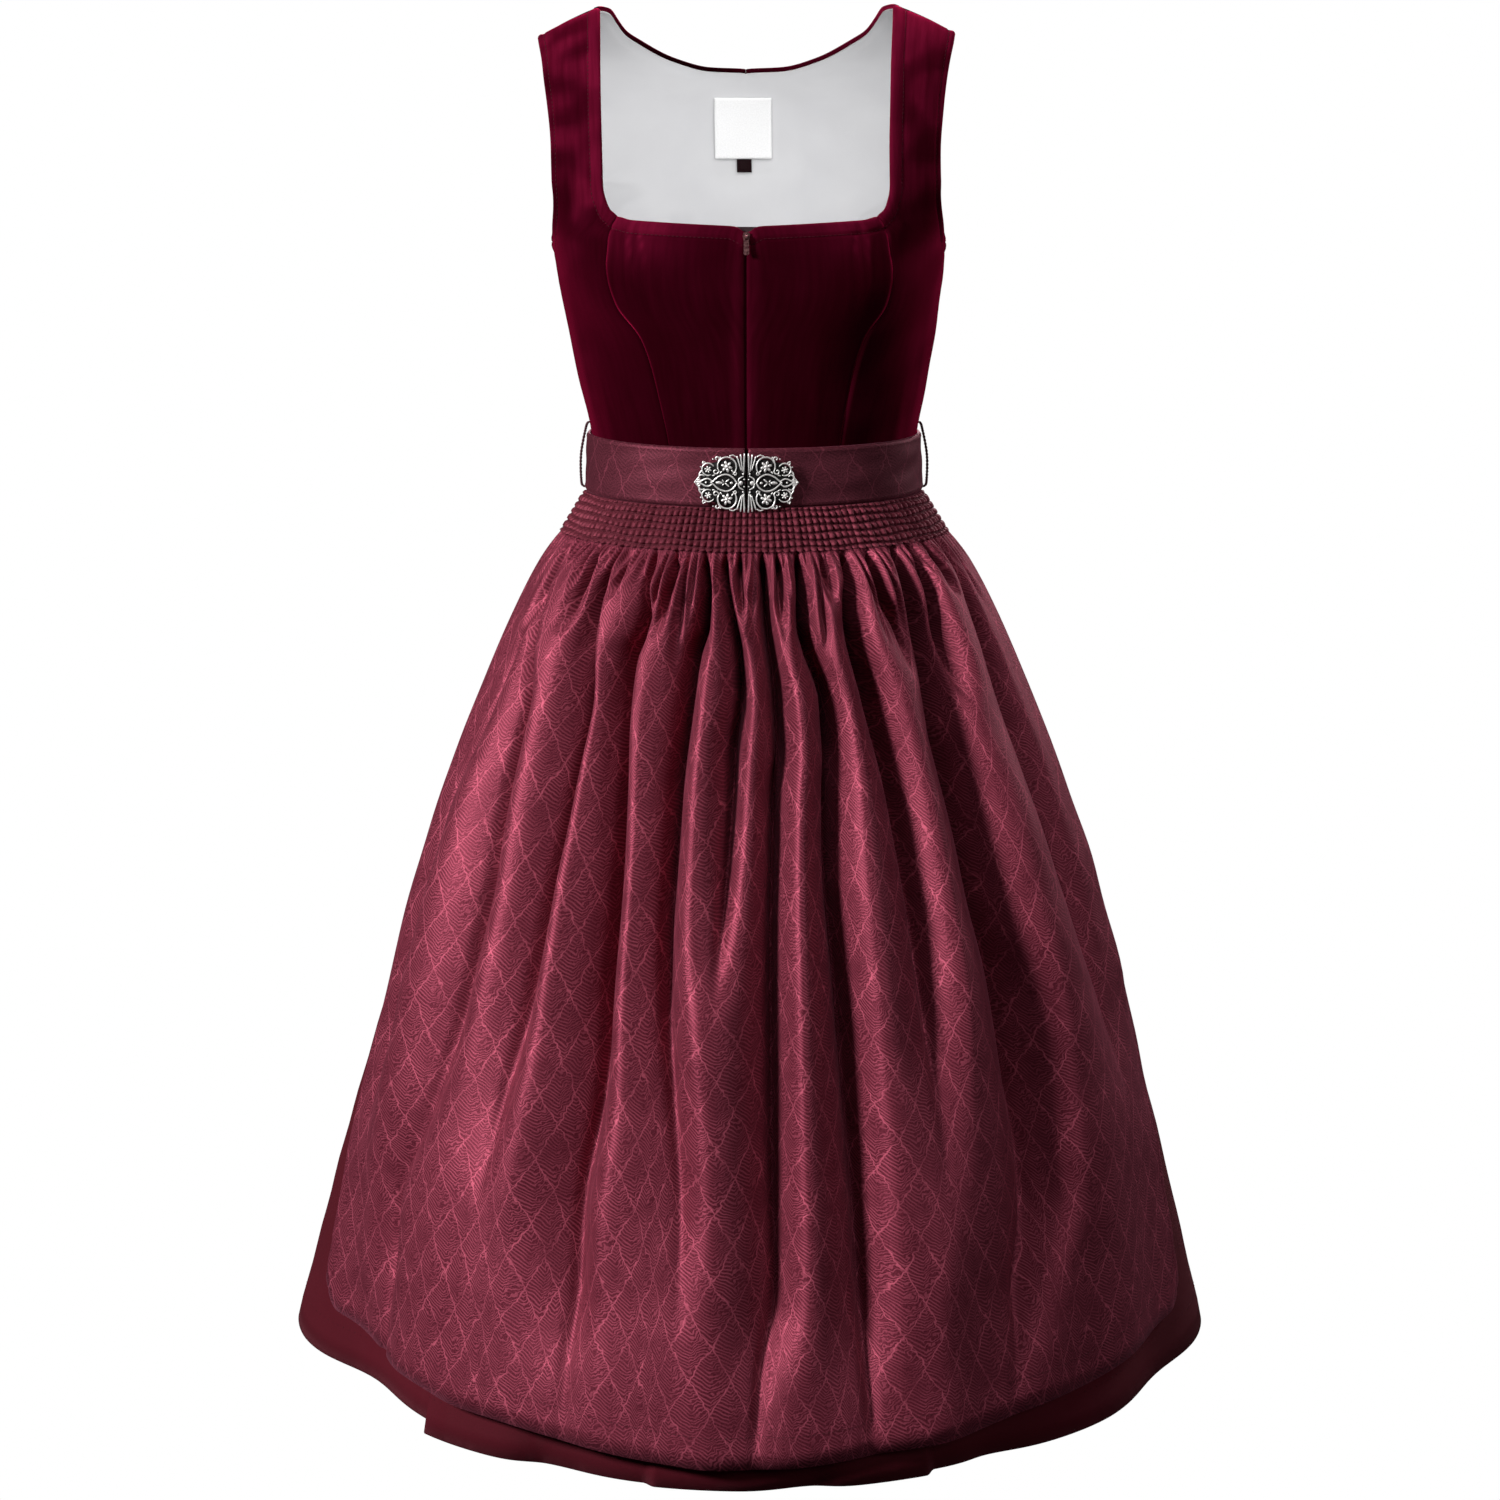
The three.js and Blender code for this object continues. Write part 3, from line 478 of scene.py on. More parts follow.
painted_sheen_colour = ramp(tree, tone, [(0.36, (0.048, 0.0012, 0.0070)), (0.68, (0.150, 0.0050, 0.0260))])
painted_sheen_share = node(tree, "ShaderNodeAttribute", {"attribute_name": "nap_and_painted_sheen"}).outputs["Fac"]
painted_sheen_mix = node(tree, "ShaderNodeMix", {"data_type": "RGBA"})
for socket, source in zip((0, 6, 7), (painted_sheen_share, unsheened_colour, painted_sheen_colour)):
    tree.links.new(source, painted_sheen_mix.inputs[socket])
tree.links.new(painted_sheen_mix.outputs[2], principled.inputs["Base Color"])
bumped(tree, principled, nap_and_painted_sheen.outputs[0], 0.25, 0.0004)
constants(principled, Roughness=0.9, Specular_IOR_Level=0.0, Sheen_Weight=1.0, Sheen_Roughness=0.42,
          Sheen_Tint=(0.80, 0.02, 0.11, 1))

lining_cotton, tree, principled = shader("white lining cotton")
flat = node(tree, "ShaderNodeUVMap").outputs[0]
threads = placed(tree, weave, Cloth=flat, Thread=0.0009)
soft = node(tree, "ShaderNodeTexNoise", Vector=flat, Scale=14.0, Detail=3.0)
coloured(tree, principled, soft.outputs[0], [(0.3, (0.60, 0.60, 0.615)), (0.7, (0.65, 0.65, 0.66))])
bumped(tree, principled, threads.outputs["Height"], 0.25, 0.0002)
constants(principled, Roughness=0.85, Sheen_Weight=0.2)

front_side_edges = table("row side_azimuth side_path neck_azimuth neck_path", [
    [0, 90, WAIST_END, 30, WAIST_END], [1, 90, 36, 30.8, 36], [2, 90, 75, 32.5, 80],
    [3, 90, 110, 35.5, 115], [4, 90, 140, 42, 140], [5, 90, 158, 44, 165], [6, 90, 176, 42, 185],
    [7, 82, 178, 39.0, 196], [8, 74, 186, 36.7, 202.9], [9, 66, 200, 38.6, 208.5],
    [10, 60, 222, 39.2, 224], [11, 60.3, 250, 39.3, 252], [12, 62, 285, 39.7, 287],
    [13, 65, 320, 40.1, 322], [14, 67.6, 350, 40.6, 351],
    [15, 69.3, SHOULDER_SEAM, 41, SHOULDER_SEAM]])
back_edges = table("row side_azimuth side_path neck_azimuth neck_path", [
    [0, 90, WAIST_END, 180, WAIST_END], [1, 90, 36, 180, 44], [2, 90, 75, 180, 92],
    [3, 90, 110, 180, 138], [4, 90, 140, 180, 180], [5, 90, 158, 180, 210],
    [6, 90, 176, 180, 242], [7, 98, 178, 180, 272], [8, 106, 186, 180, 299.5],
    [9, 114, 202, 170, 301.3], [10, 120, 228, 160.5, 309], [11, 119.7, 260, 152, 323],
    [12, 117.5, 292, 147, 335], [13, 114.5, 325, 144.5, 348], [14, 112.2, 352, 142.7, 361],
    [15, 110.7, SHOULDER_SEAM, 139, SHOULDER_SEAM]])
PRINCESS_TOP = 8
ARMHOLE_ROW = 6
LAST_ROW = 15
SEAM_TURN = 0.015
SLIT_TURN = 0.08
NECK_BAND = 9.5
ARMHOLE_BAND = 5.5


def panel_places(edges, side, columns):
    """Azimuth and path of a fine grid between a panel's two edges, from the waist to the shoulder seam."""
    row = np.linspace(0, LAST_ROW, LAST_ROW * 7 + 1)[:, None]
    share = np.linspace(0, 1, columns + 1)[None, :]
    ends = {name: read(edges, name, row) for name in edges if name != "row"}
    azimuth = ends["side_azimuth"] * (1 - share) + ends["neck_azimuth"] * share
    path = ends["side_path"] * (1 - share) + ends["neck_path"] * share
    return side * azimuth, path, row, share


def sewn(points, seam):
    """A seam sinks between its two panels and puckers the velvet a little beside it."""
    gap = distance_to(points, seam)
    return -0.16 * hump(gap, 0.8) - 0.05 * hump(gap - 2.5, 3) * np.sin(points[..., 2] / 1.6)


def turned_in(points, edge, band):
    """A finished edge is rolled over, and topstitched a little way in."""
    gap = distance_to(points, edge)
    padded = np.where(gap < band, np.sin(np.pi * np.clip(gap / band, 0, 1)) ** 0.7, 0)
    return -0.8 * hump(gap, 0.9) + 0.6 * padded - 0.7 * hump(gap - band, 0.9)


CREASES = {
    # azimuth, path where it is deepest, height, turn and path that it reaches over
    "front_centre": [(31, 176, -0.9, 1.2, 26), (35.5, 180, 0.5, 1.4, 20), (20, 60, 0.5, 3, 60),
                     (9, 40, 0.6, 2.4, 70), (4.2, 120, 0.45, 1.0, 90)],
    "front_side": [(46, 188, -0.8, 1.5, 22), (70, 90, 0.8, 4, 50), (58, 30, 0.8, 3, 40),
                   (52, 320, 0.6, 2.5, 40), (60, 262, -0.6, 2, 30)],
    "back": [(150, 200, 0.9, 4, 60), (128, 60, 0.8, 5, 50), (112, 120, 0.8, 4, 50),
             (168, 120, 0.7, 3, 80)],
}


def creases(kind, azimuth, path):
    return sum(height * hump(np.abs(azimuth) - place, turn) * hump(path - deepest, reach)
               for place, deepest, height, turn, reach in CREASES[kind])


def panel_wall(name, azimuth, path, relief, nap_and_painted_sheen, materials):
    """One velvet panel on the bodice's form. Relief and the painted sheen on its velvet are functions of its
    places there.
    """
    points, normals = bodice_points(azimuth, path), bodice_normals(azimuth, path)
    outer = points + normals * relief(points)[..., None]
    inner = points - normals * VELVET
    piece = cloth_mesh(name, outer, inner, flat_measures(outer), materials)
    # Painted sheen: how much lighter crimson each point of the velvet is painted, the same on both faces.
    layer = piece.data.attributes.new("nap_and_painted_sheen", "FLOAT", "POINT")
    painted_sheen_share = np.clip(nap_and_painted_sheen(points) + 0 * azimuth, 0, 1).reshape(-1)
    layer.data.foreach_set("value", np.concatenate([painted_sheen_share, painted_sheen_share]).astype(np.float32))
    size = flat_size(outer)
    as_cloth(piece, name.replace("velvet_", ""), "velvet", flat=size, held="stretched",
             area=min(surface_area(outer), size[0] * size[1]))
    return points, outer


def strap_relief(points, rise, strap, armhole, neck_band):
    """The seams and the finished edges of a panel that runs up into a strap."""
    seams = sewn(points, points[~strap, -1]) + sewn(points, points[~armhole, 0])
    edges = turned_in(points, points[strap, -1], neck_band)
    edges += turned_in(points, points[armhole, 0], ARMHOLE_BAND)
    return rise + seams + edges + sewn(points, points[-1])


def strap_stitches(points, outer, strap, armhole, neck_band):
    neck_gap = distance_to(points, points[strap, -1])
    armhole_gap = distance_to(points, points[armhole, 0])[:, ::-1]
    return stitches(line_at(outer, neck_gap, neck_band)) + stitches(
        line_at(outer[:, ::-1], armhole_gap, ARMHOLE_BAND))


def thread_shader(name, dark, light):
    material, tree, principled = shader(name)
    fuzz = node(tree, "ShaderNodeTexNoise", Scale=1800.0, Detail=2.0,
                Vector=node(tree, "ShaderNodeTexCoord").outputs["Object"])
    coloured(tree, principled, fuzz.outputs[0], [(0.3, dark), (0.7, light)])
    constants(principled, Roughness=0.7, Specular_IOR_Level=0.2)
    return material


def along_closure(neck_path):
    """The closure's path beside a path along the princess seam: both end at the neckline."""
    top_path = front_side_edges["neck_path"][PRINCESS_TOP]
    return WAIST_END + (neck_path - WAIST_END) * (NECK_FRONT - WAIST_END) / (top_path - WAIST_END)


topstitches = []
for side_name, side in (("left", -1), ("right", 1)):
    azimuth, path, row, share = panel_places(front_side_edges, side, 30)
    azimuth = azimuth + side * SEAM_TURN * (2 * share - 1)
    rise = unevenness(11 + side, 9, azimuth, path, 2, 9) * 0.35 + creases("front_side", azimuth, path)
    strap = row[:, 0] >= PRINCESS_TOP
    armhole = row[:, 0] >= ARMHOLE_ROW

    def side_relief(points):
        return strap_relief(points, rise, strap, armhole, NECK_BAND)

    def side_painted_sheen(points):
        # Painted sheen and highlights: lighter crimson over the strap and the side flank, at the neckline
        # corner and along the neck band, in mottled patches, and more of it on the right side.
        strap_painted_sheen = (0.42 + 0.36 * (side > 0)) * eased((path - 205) / 60)
        corner = 0.7 * hump(path - 215, 26) * eased((distance_to(points, points[:, 0]) - 16) / 14)
        edges = 0.95 * (distance_to(points, points[strap, -1]) < NECK_BAND)
        flank = (0.18 + 0.6 * (side > 0)) * eased((np.abs(azimuth) - 54) / 30) + 0.14 * (side > 0)
        mottled_highlight = eased(0.5 + 0.55 * unevenness(13 + side, 9, azimuth, path * 1.6, 3, 10))
        lifted_painted_sheen = (strap_painted_sheen + corner + flank) * (0.25 + 1.5 * mottled_highlight)
        return np.maximum(lifted_painted_sheen, edges * (0.75 + 0.5 * mottled_highlight))

    points, outer = panel_wall(f"velvet_front_side_{side_name}", azimuth, path, side_relief, side_painted_sheen,
                               [velvet, lining_cotton])
    topstitches += strap_stitches(points, outer, strap, armhole, NECK_BAND)

    row = np.linspace(0, PRINCESS_TOP, PRINCESS_TOP * 9 + 1)[:, None]
    share = np.linspace(0, 1, 37)[None, :]
    neck_path = read(front_side_edges, "neck_path", row)
    closure_path = along_closure(neck_path)
    closure = side * closure_azimuth(closure_path) + SLIT_TURN
    princess = read(front_side_edges, "neck_azimuth", row) - SEAM_TURN
    azimuth = side * (princess * (1 - share) + closure * share)
    path = neck_path * (1 - share) + closure_path * share
    notch = 4.5 * hump((1 - share) / 0.05, 1) + 1.7 * eased(share / 0.13)
    path = path - notch * (row / PRINCESS_TOP) ** 12
    rise = unevenness(21 + side, 9, azimuth, path, 2, 9) * 0.3 + creases("front_centre", azimuth, path)

    def centre_relief(points):
        slit = distance_to(points, points[:, -1])
        facing = 0.5 * hump(slit - 6, 3) - 0.3 * hump(slit - 12, 1.2) - 0.5 * hump(slit, 0.8)
        return rise + sewn(points, points[:, 0]) + turned_in(points, points[-1], NECK_BAND) + facing

    def centre_painted_sheen(points):
        # Painted highlights: lighter crimson along the neck band and towards the corner, on the puckers by
        # the princess seam, beside the slit and on its right edge, with faint mottled patches.
        band = distance_to(points, points[-1])
        corner = eased((np.abs(azimuth) - 12) / 22)
        edge = 0.95 * (band < NECK_BAND) * (0.35 + 0.65 * corner)
        puckers = 0.5 * hump(np.abs(azimuth) - 30.6, 0.4) * hump(path - 185, 13)
        puckers += 0.4 * hump(np.abs(azimuth) - 34.8, 0.5) * hump(path - 178, 18)
        slit = distance_to(points, points[:, -1])
        facing = 0.25 * hump(slit - 6, 5) + 0.6 * (side > 0) * hump(slit - 1.2, 1.2)
        mottled_highlight = 0.05 * eased(0.4 + 0.6 * unevenness(17 + side, 8, azimuth * 1.5, path, 2, 9))
        return edge + 0.45 * corner * hump(band - 14, 16) + puckers + facing + mottled_highlight

    points, outer = panel_wall(f"velvet_front_centre_{side_name}", azimuth, path, centre_relief, centre_painted_sheen,
                               [velvet, lining_cotton])
    topstitches += stitches(line_at(
        outer.transpose(1, 0, 2), distance_to(points, points[-1]).T, NECK_BAND))

    azimuth, path, row, share = panel_places(back_edges, side, 36)
    azimuth = azimuth + side * SEAM_TURN * (1 - 2 * share)
    rise = unevenness(31 + side, 9, azimuth, path, 2, 9) * 0.4 + creases("back", azimuth, path)

    def back_relief(points):
        return strap_relief(points, rise, strap, armhole, ARMHOLE_BAND)

    def back_painted_sheen(points):
        # A random tone, with painted sheen growing towards the shoulders.
        return 0.25 + 0.3 * unevenness(15, 8, azimuth, path, 1, 5) + 0.3 * eased((path - 300) / 50)

    points, outer = panel_wall(f"velvet_back_{side_name}", azimuth, path, back_relief, back_painted_sheen, [velvet])
    topstitches += strap_stitches(points, outer, strap, armhole, ARMHOLE_BAND)
bodice_thread = thread_shader("crimson bodice thread", (0.030, 0.0010, 0.004), (0.075, 0.003, 0.012))
assembled("bodice_topstitching", topstitches, bodice_thread)


# Back lining: white cotton, cut like the velvet back and hung just inside it from the neck seam.
LINING_DEPTH = VELVET + 0.3
LINING = 1.2
LINING_BELOW_EDGE = 2.8
BACK_WIDTH = np.radians(165)
for side_name, side in (("left", -1), ("right", 1)):
    azimuth, path, row, share = panel_places(back_edges, side, 44)
    run = np.stack([azimuth[:, -1] * side * BACK_WIDTH, path[:, -1]], -1)
    tangent = np.gradient(run, axis=0)
    inset = np.stack([-tangent[:, 1], tangent[:, 0]], -1) / np.linalg.norm(tangent, axis=1, keepdims=True)
    inset[row[:, 0] < 8.5] = (0, -1)
    inset *= LINING_BELOW_EDGE * eased((row - 6.5) / 1.5)
    azimuth = azimuth + side * inset[:, :1] / BACK_WIDTH * eased((share - 0.6) / 0.4)
    path = path + inset[:, 1:] * eased((share - 0.6) / 0.4)
    puckers = unevenness(41, 12, azimuth % 360, path, 3, 12) * 0.4
    puckers += 0.7 * hump(np.abs(azimuth) - 165, 1.5) * hump(path - 225, 50)
    points, normals = bodice_points(azimuth, path), bodice_normals(azimuth, path)
    edge = distance_to(points, points[row[:, 0] >= PRINCESS_TOP, -1])
    relief = -0.5 * hump(edge - 4, 0.9) - np.clip(puckers, -0.9, 0.9) * np.clip(edge / 8, 0, 1)
    outer = points - normals * LINING_DEPTH
    inner = points - normals * (LINING_DEPTH + LINING + relief)[..., None]
    piece = cloth_mesh(f"lining_back_{side_name}", outer, inner, flat_measures(outer), [lining_cotton])
    piece.data.set_sharp_from_angle(angle=1.0)
    light_through_neck(piece)
    size = flat_size(outer)
    as_cloth(piece, "lining_back", "lining", flat=size, held="hung", rests_on=["velvet_back_" + side_name],
             area=min(surface_area(outer), size[0] * size[1]))


# Labels: two bare woven satin labels, folded and stitched to the lining below the back neck.
LABEL = 1.0
LABEL_DEPTH = LINING_DEPTH + LINING + 2.2
LABELS = [
    # name, node, slot, left and right from the centre back, bottom and top of its path
    ("woven_label", "label_main", "label", -24.5, 20, 234.5, 280.5),
    ("size_tab", "label_size", "size_tab", -7.5, 4, 224.0, 234.2),
]


def satin(name, colour, line_colour, shine):
    material, tree, principled = shader(name)
    flat = node(tree, "ShaderNodeUVMap").outputs[0]
    threads = placed(tree, weave, Cloth=flat, Thread=0.0005)
    coloured(tree, principled, threads.outputs["Fleck"], [(0.35, line_colour), (0.65, colour)])
    bumped(tree, principled, threads.outputs["Height"], 0.3, 0.0001)
    constants(principled, Roughness=0.45, Specular_IOR_Level=shine, Sheen_Weight=0.3 * shine)
    return material


label_satin = satin("white label satin", (0.92, 0.92, 0.92), (0.86, 0.86, 0.86), 0.4)
tab_satin = satin("dark tab satin", (0.0120, 0.0022, 0.0036), (0.0060, 0.0010, 0.0018), 0.05)
for (name, label_node, slot, left, right, bottom, top), cloth in zip(LABELS, (label_satin, tab_satin)):
    path = np.linspace(bottom, top, 37)[:, None]
    x = np.linspace(left, right, 41)[None, :]
    azimuth = 180 - np.degrees(np.arcsin(x / read(bodice_form, "half_width", path)))
    points, normals = bodice_points(azimuth, path), bodice_normals(azimuth, path)
    across, upward = (x - left) / (right - left), (path - bottom) / (top - bottom)
    curl = 0.5 * np.sin(across * 5.1 + 0.4) * np.sin(upward * 3.6 + 0.8) + 0.5 * hump(upward, 0.06)
    edge = np.minimum(np.minimum(across, 1 - across) * (right - left),
                      np.minimum(upward, 1 - upward) * (top - bottom))
    stitched = -0.28 * hump(edge - 1.6, 0.35) - 0.4 * hump(edge, 0.5)
    outer = points - normals * (LABEL_DEPTH + 0.25 * curl)[..., None]
    inner = points - normals * (LABEL_DEPTH + LABEL + 0.25 * curl + stitched)[..., None]
    piece = cloth_mesh(name, outer, inner, flat_measures(outer), [cloth])
    light_through_neck(piece)
    as_cloth(piece, label_node, slot, flat=((right - left) * MILLIMETRE, (top - bottom) * MILLIMETRE),
             held="laid", rests_on=["lining_back_left", "lining_back_right"])


# Zip: a narrow tape behind the slit, a nylon coil in it, and the lacquered slider with its pull tab.
TAPE = 1.2
TAPE_DEPTH = VELVET + 0.8
TAPE_SHORTER = 1.5
TAPE_HALF_TURN = 4.5
COIL_RADIUS = 0.62
COIL_WIRE = 0.24
COIL_PITCH = 1.5
COIL_DEPTH = VELVET + 0.75
COIL_START, COIL_END = 4, 182


def ball(centre, radii, turn=0.0):
    """A rounded bead with its own radii, turned in the plane of its first two axes."""
    rings, sides = 5, 9
    lift = np.linspace(0, np.pi, rings + 1)[1:-1]
    around = np.linspace(0, 2 * np.pi, sides, endpoint=False)
    body = np.stack([np.outer(np.sin(lift), np.cos(around)), np.outer(np.sin(lift), np.sin(around)),
                     np.outer(np.cos(lift), np.ones(sides))], -1).reshape(-1, 3)
    points = np.concatenate([body, [[0, 0, 1], [0, 0, -1]]]) * np.asarray(radii, float)
    c, s = math.cos(turn), math.sin(turn)
    points = points @ np.array([[c, s, 0], [-s, c, 0], [0, 0, 1]]) + np.asarray(centre, float)
    at = np.arange((rings - 1) * sides).reshape(rings - 1, sides)
    after = np.roll(at, -1, axis=1)
    faces = np.stack([at[:-1], at[1:], after[1:], after[:-1]], -1).reshape(-1, 4).tolist()
    top = (rings - 1) * sides
    faces += [[at[0, k], after[0, k], top] for k in range(sides)]
    faces += [[after[-1, k], at[-1, k], top + 1] for k in range(sides)]
    return points, faces


zip_tape, tree, principled = shader("dark zip tape")
flat = node(tree, "ShaderNodeUVMap").outputs[0]
threads = placed(tree, weave, Cloth=flat, Thread=0.0007)
coloured(tree, principled, threads.outputs["Fleck"],
         [(0.3, (0.012, 0.001, 0.003)), (0.7, (0.030, 0.003, 0.008))])
bumped(tree, principled, threads.outputs["Height"], 0.5, 0.0002)
constants(principled, Roughness=0.8)

row = np.linspace(0, PRINCESS_TOP, 73)[:, None]
tape_path = along_closure(read(front_side_edges, "neck_path", row)) - TAPE_SHORTER
azimuth = closure_azimuth(tape_path) + np.linspace(-TAPE_HALF_TURN, TAPE_HALF_TURN, 13)[None, :]
path = np.broadcast_to(tape_path, azimuth.shape)
points, normals = bodice_points(azimuth, path), bodice_normals(azimuth, path)
outer = points - normals * TAPE_DEPTH
inner = points - normals * (TAPE_DEPTH + TAPE)
piece = cloth_mesh("zip_tape_cloth", outer, inner, flat_measures(outer), [zip_tape])
as_cloth(piece, "zip_tape", "zip_tape", flat=flat_size(outer), held="stretched",
         rests_on=["velvet_front_centre_left", "velvet_front_centre_right"])

coil_nylon, tree, principled = shader("dark red coil nylon")
grain = node(tree, "ShaderNodeTexNoise", Scale=1500.0,
             Vector=node(tree, "ShaderNodeTexCoord").outputs["Object"])
coloured(tree, principled, grain.outputs[0], [(0.3, (0.05, 0.006, 0.014)), (0.7, (0.13, 0.022, 0.042))])
constants(principled, Roughness=0.35)
turns = int((COIL_END - COIL_START) / COIL_PITCH)
path = np.linspace(COIL_START, COIL_END, turns * 9)
points, normals = bodice_points(closure_azimuth(path), path), bodice_normals(closure_azimuth(path), path)
coil = points - normals * COIL_DEPTH
angle = (path - COIL_START) / COIL_PITCH * 2 * np.pi
coil += np.outer(np.cos(angle), (COIL_RADIUS * 1.3, 0, 0)) + normals * (np.sin(angle) * COIL_RADIUS)[:, None]
assembled("zip_coil", [tube(coil, COIL_WIRE, (0.3, 1, 0.2), sides=5)], coil_nylon)

zip_metal, tree, principled = shader("rose lacquered zip metal")
worn = node(tree, "ShaderNodeTexNoise", Scale=700.0, Detail=3.0,
            Vector=node(tree, "ShaderNodeTexCoord").outputs["Object"])
coloured(tree, principled, worn.outputs[0], [(0.35, (0.20, 0.075, 0.085)), (0.65, (0.42, 0.20, 0.20))])
coloured(tree, principled, worn.outputs[0], [(0.3, (0.25,) * 3), (0.7, (0.42,) * 3)], "Roughness")
constants(principled, Metallic=0.85)
for name in ("zip_slider", "zip_pull"):
    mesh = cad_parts[name].data
    mesh.materials.clear()
    mesh.materials.append(zip_metal)


# Skirt: two widths of plain cotton gathered into the waist seam, joined at the sides and hemmed.
SKIRT = 1.4
SKIRT_HEM = 667.0
DENT_RISE = 250.0
SKIRT_HEM_STITCHES = 26
SHARED_SINK = 16.0
CREASE = 18.0
GATHERS = 58
GATHER_SEED = 109
SIDE_OVERLAP = 0.25
skirt_form = table("drop half_width front back power sway", [
    [2, 121, 93, 86, 2, 3], [37, 143, 112, 104, 2, 3.4], [60, 158, 128, 120, 2, 3.8],
    [100, 178, 147, 142, 1.99, 4], [150, 200, 171, 168, 1.98, 4], [200, 221, 194, 192, 1.97, 4],
    [300, 258, 236, 236, 1.94, 4], [400, 287, 270, 270, 1.92, 3.4], [500, 316, 302, 302, 1.9, 2.3],
    [600, 342, 330, 328, 1.88, 0.7], [667, 360, 348, 345, 1.87, -0.4]])
skirt_troughs = table("azimuth start end depth reach lean", [
    [-26, 420, 900, 8, 5, 0.6], [8, 480, 900, 6, 4, -0.5], [31, 520, 900, 5, 4, 0.4],
    [-98, 40, 900, 12, 5, 0.5], [-112, 60, 900, 17, 5.5, -0.6], [-127, 30, 900, 16, 5.5, 0.7],
    [-139, 70, 560, 11, 4.5, 0.3], [-152, 40, 900, 20, 6, -0.6], [-168, 30, 900, 17, 5, 0.5],
    [178, 50, 900, 19, 5.5, -0.5], [164, 30, 620, 14, 5, 0.6], [151, 60, 900, 20, 6, -0.4],
    [136, 40, 900, 17, 5, 0.6], [123, 30, 580, 12, 4.5, -0.5], [110, 60, 900, 18, 5.5, 0.5],
    [97, 40, 900, 12, 5, -0.4]])
hem_dents = table("azimuth depth reach", [[-62, 24, 11], [64, 13, 10]])
hem_steps = table("azimuth depth outwards", [[-43, 17, -1], [-12, 5, -1], [22, 8, 1]])


def turn_between(azimuth, other):
    return (azimuth - other + 180) % 360 - 180


def lopsided(turn, reach, lean):
    """A rounded fold that is steeper on one side: a positive lean makes its left flank the steep one."""
    side = np.where(turn < 0, 1 - 0.5 * lean, 1 + 0.5 * lean)
    return hump(turn, reach * side)


def grown(drop, start, end, over=150):
    return eased((drop - start) / over) * eased((end - drop) / over)


def hem_dent(azimuth, drop):
    growth = eased((drop - SKIRT_HEM + DENT_RISE) / DENT_RISE)
    return growth * sum(depth * hump(turn_between(azimuth, place), reach)
                        for place, depth, reach in zip(*hem_dents.values()))


def short_gathers(seed, azimuth, drop, places, top, longest, height, reach):
    """Each gather starts at its own place, stands up, and runs out at its own length."""
    draws = np.random.default_rng(seed)
    rise = np.zeros(azimuth.shape)
    for place in places:
        length = longest * draws.uniform(0.25, 1.0) ** 1.6
        tall = height * draws.uniform(0.7, 1.15)
        drift = draws.uniform(-1, 1) * reach * 1.6
        centre = place + drift * eased((drop - top) / longest)
        fade = 1 - eased((drop - top - 6) / (length + 10))
        wide = reach * (1 + 0.8 * (drop - top) / longest)
        rise += tall * fade * hump(turn_between(azimuth, centre), wide)
    return rise


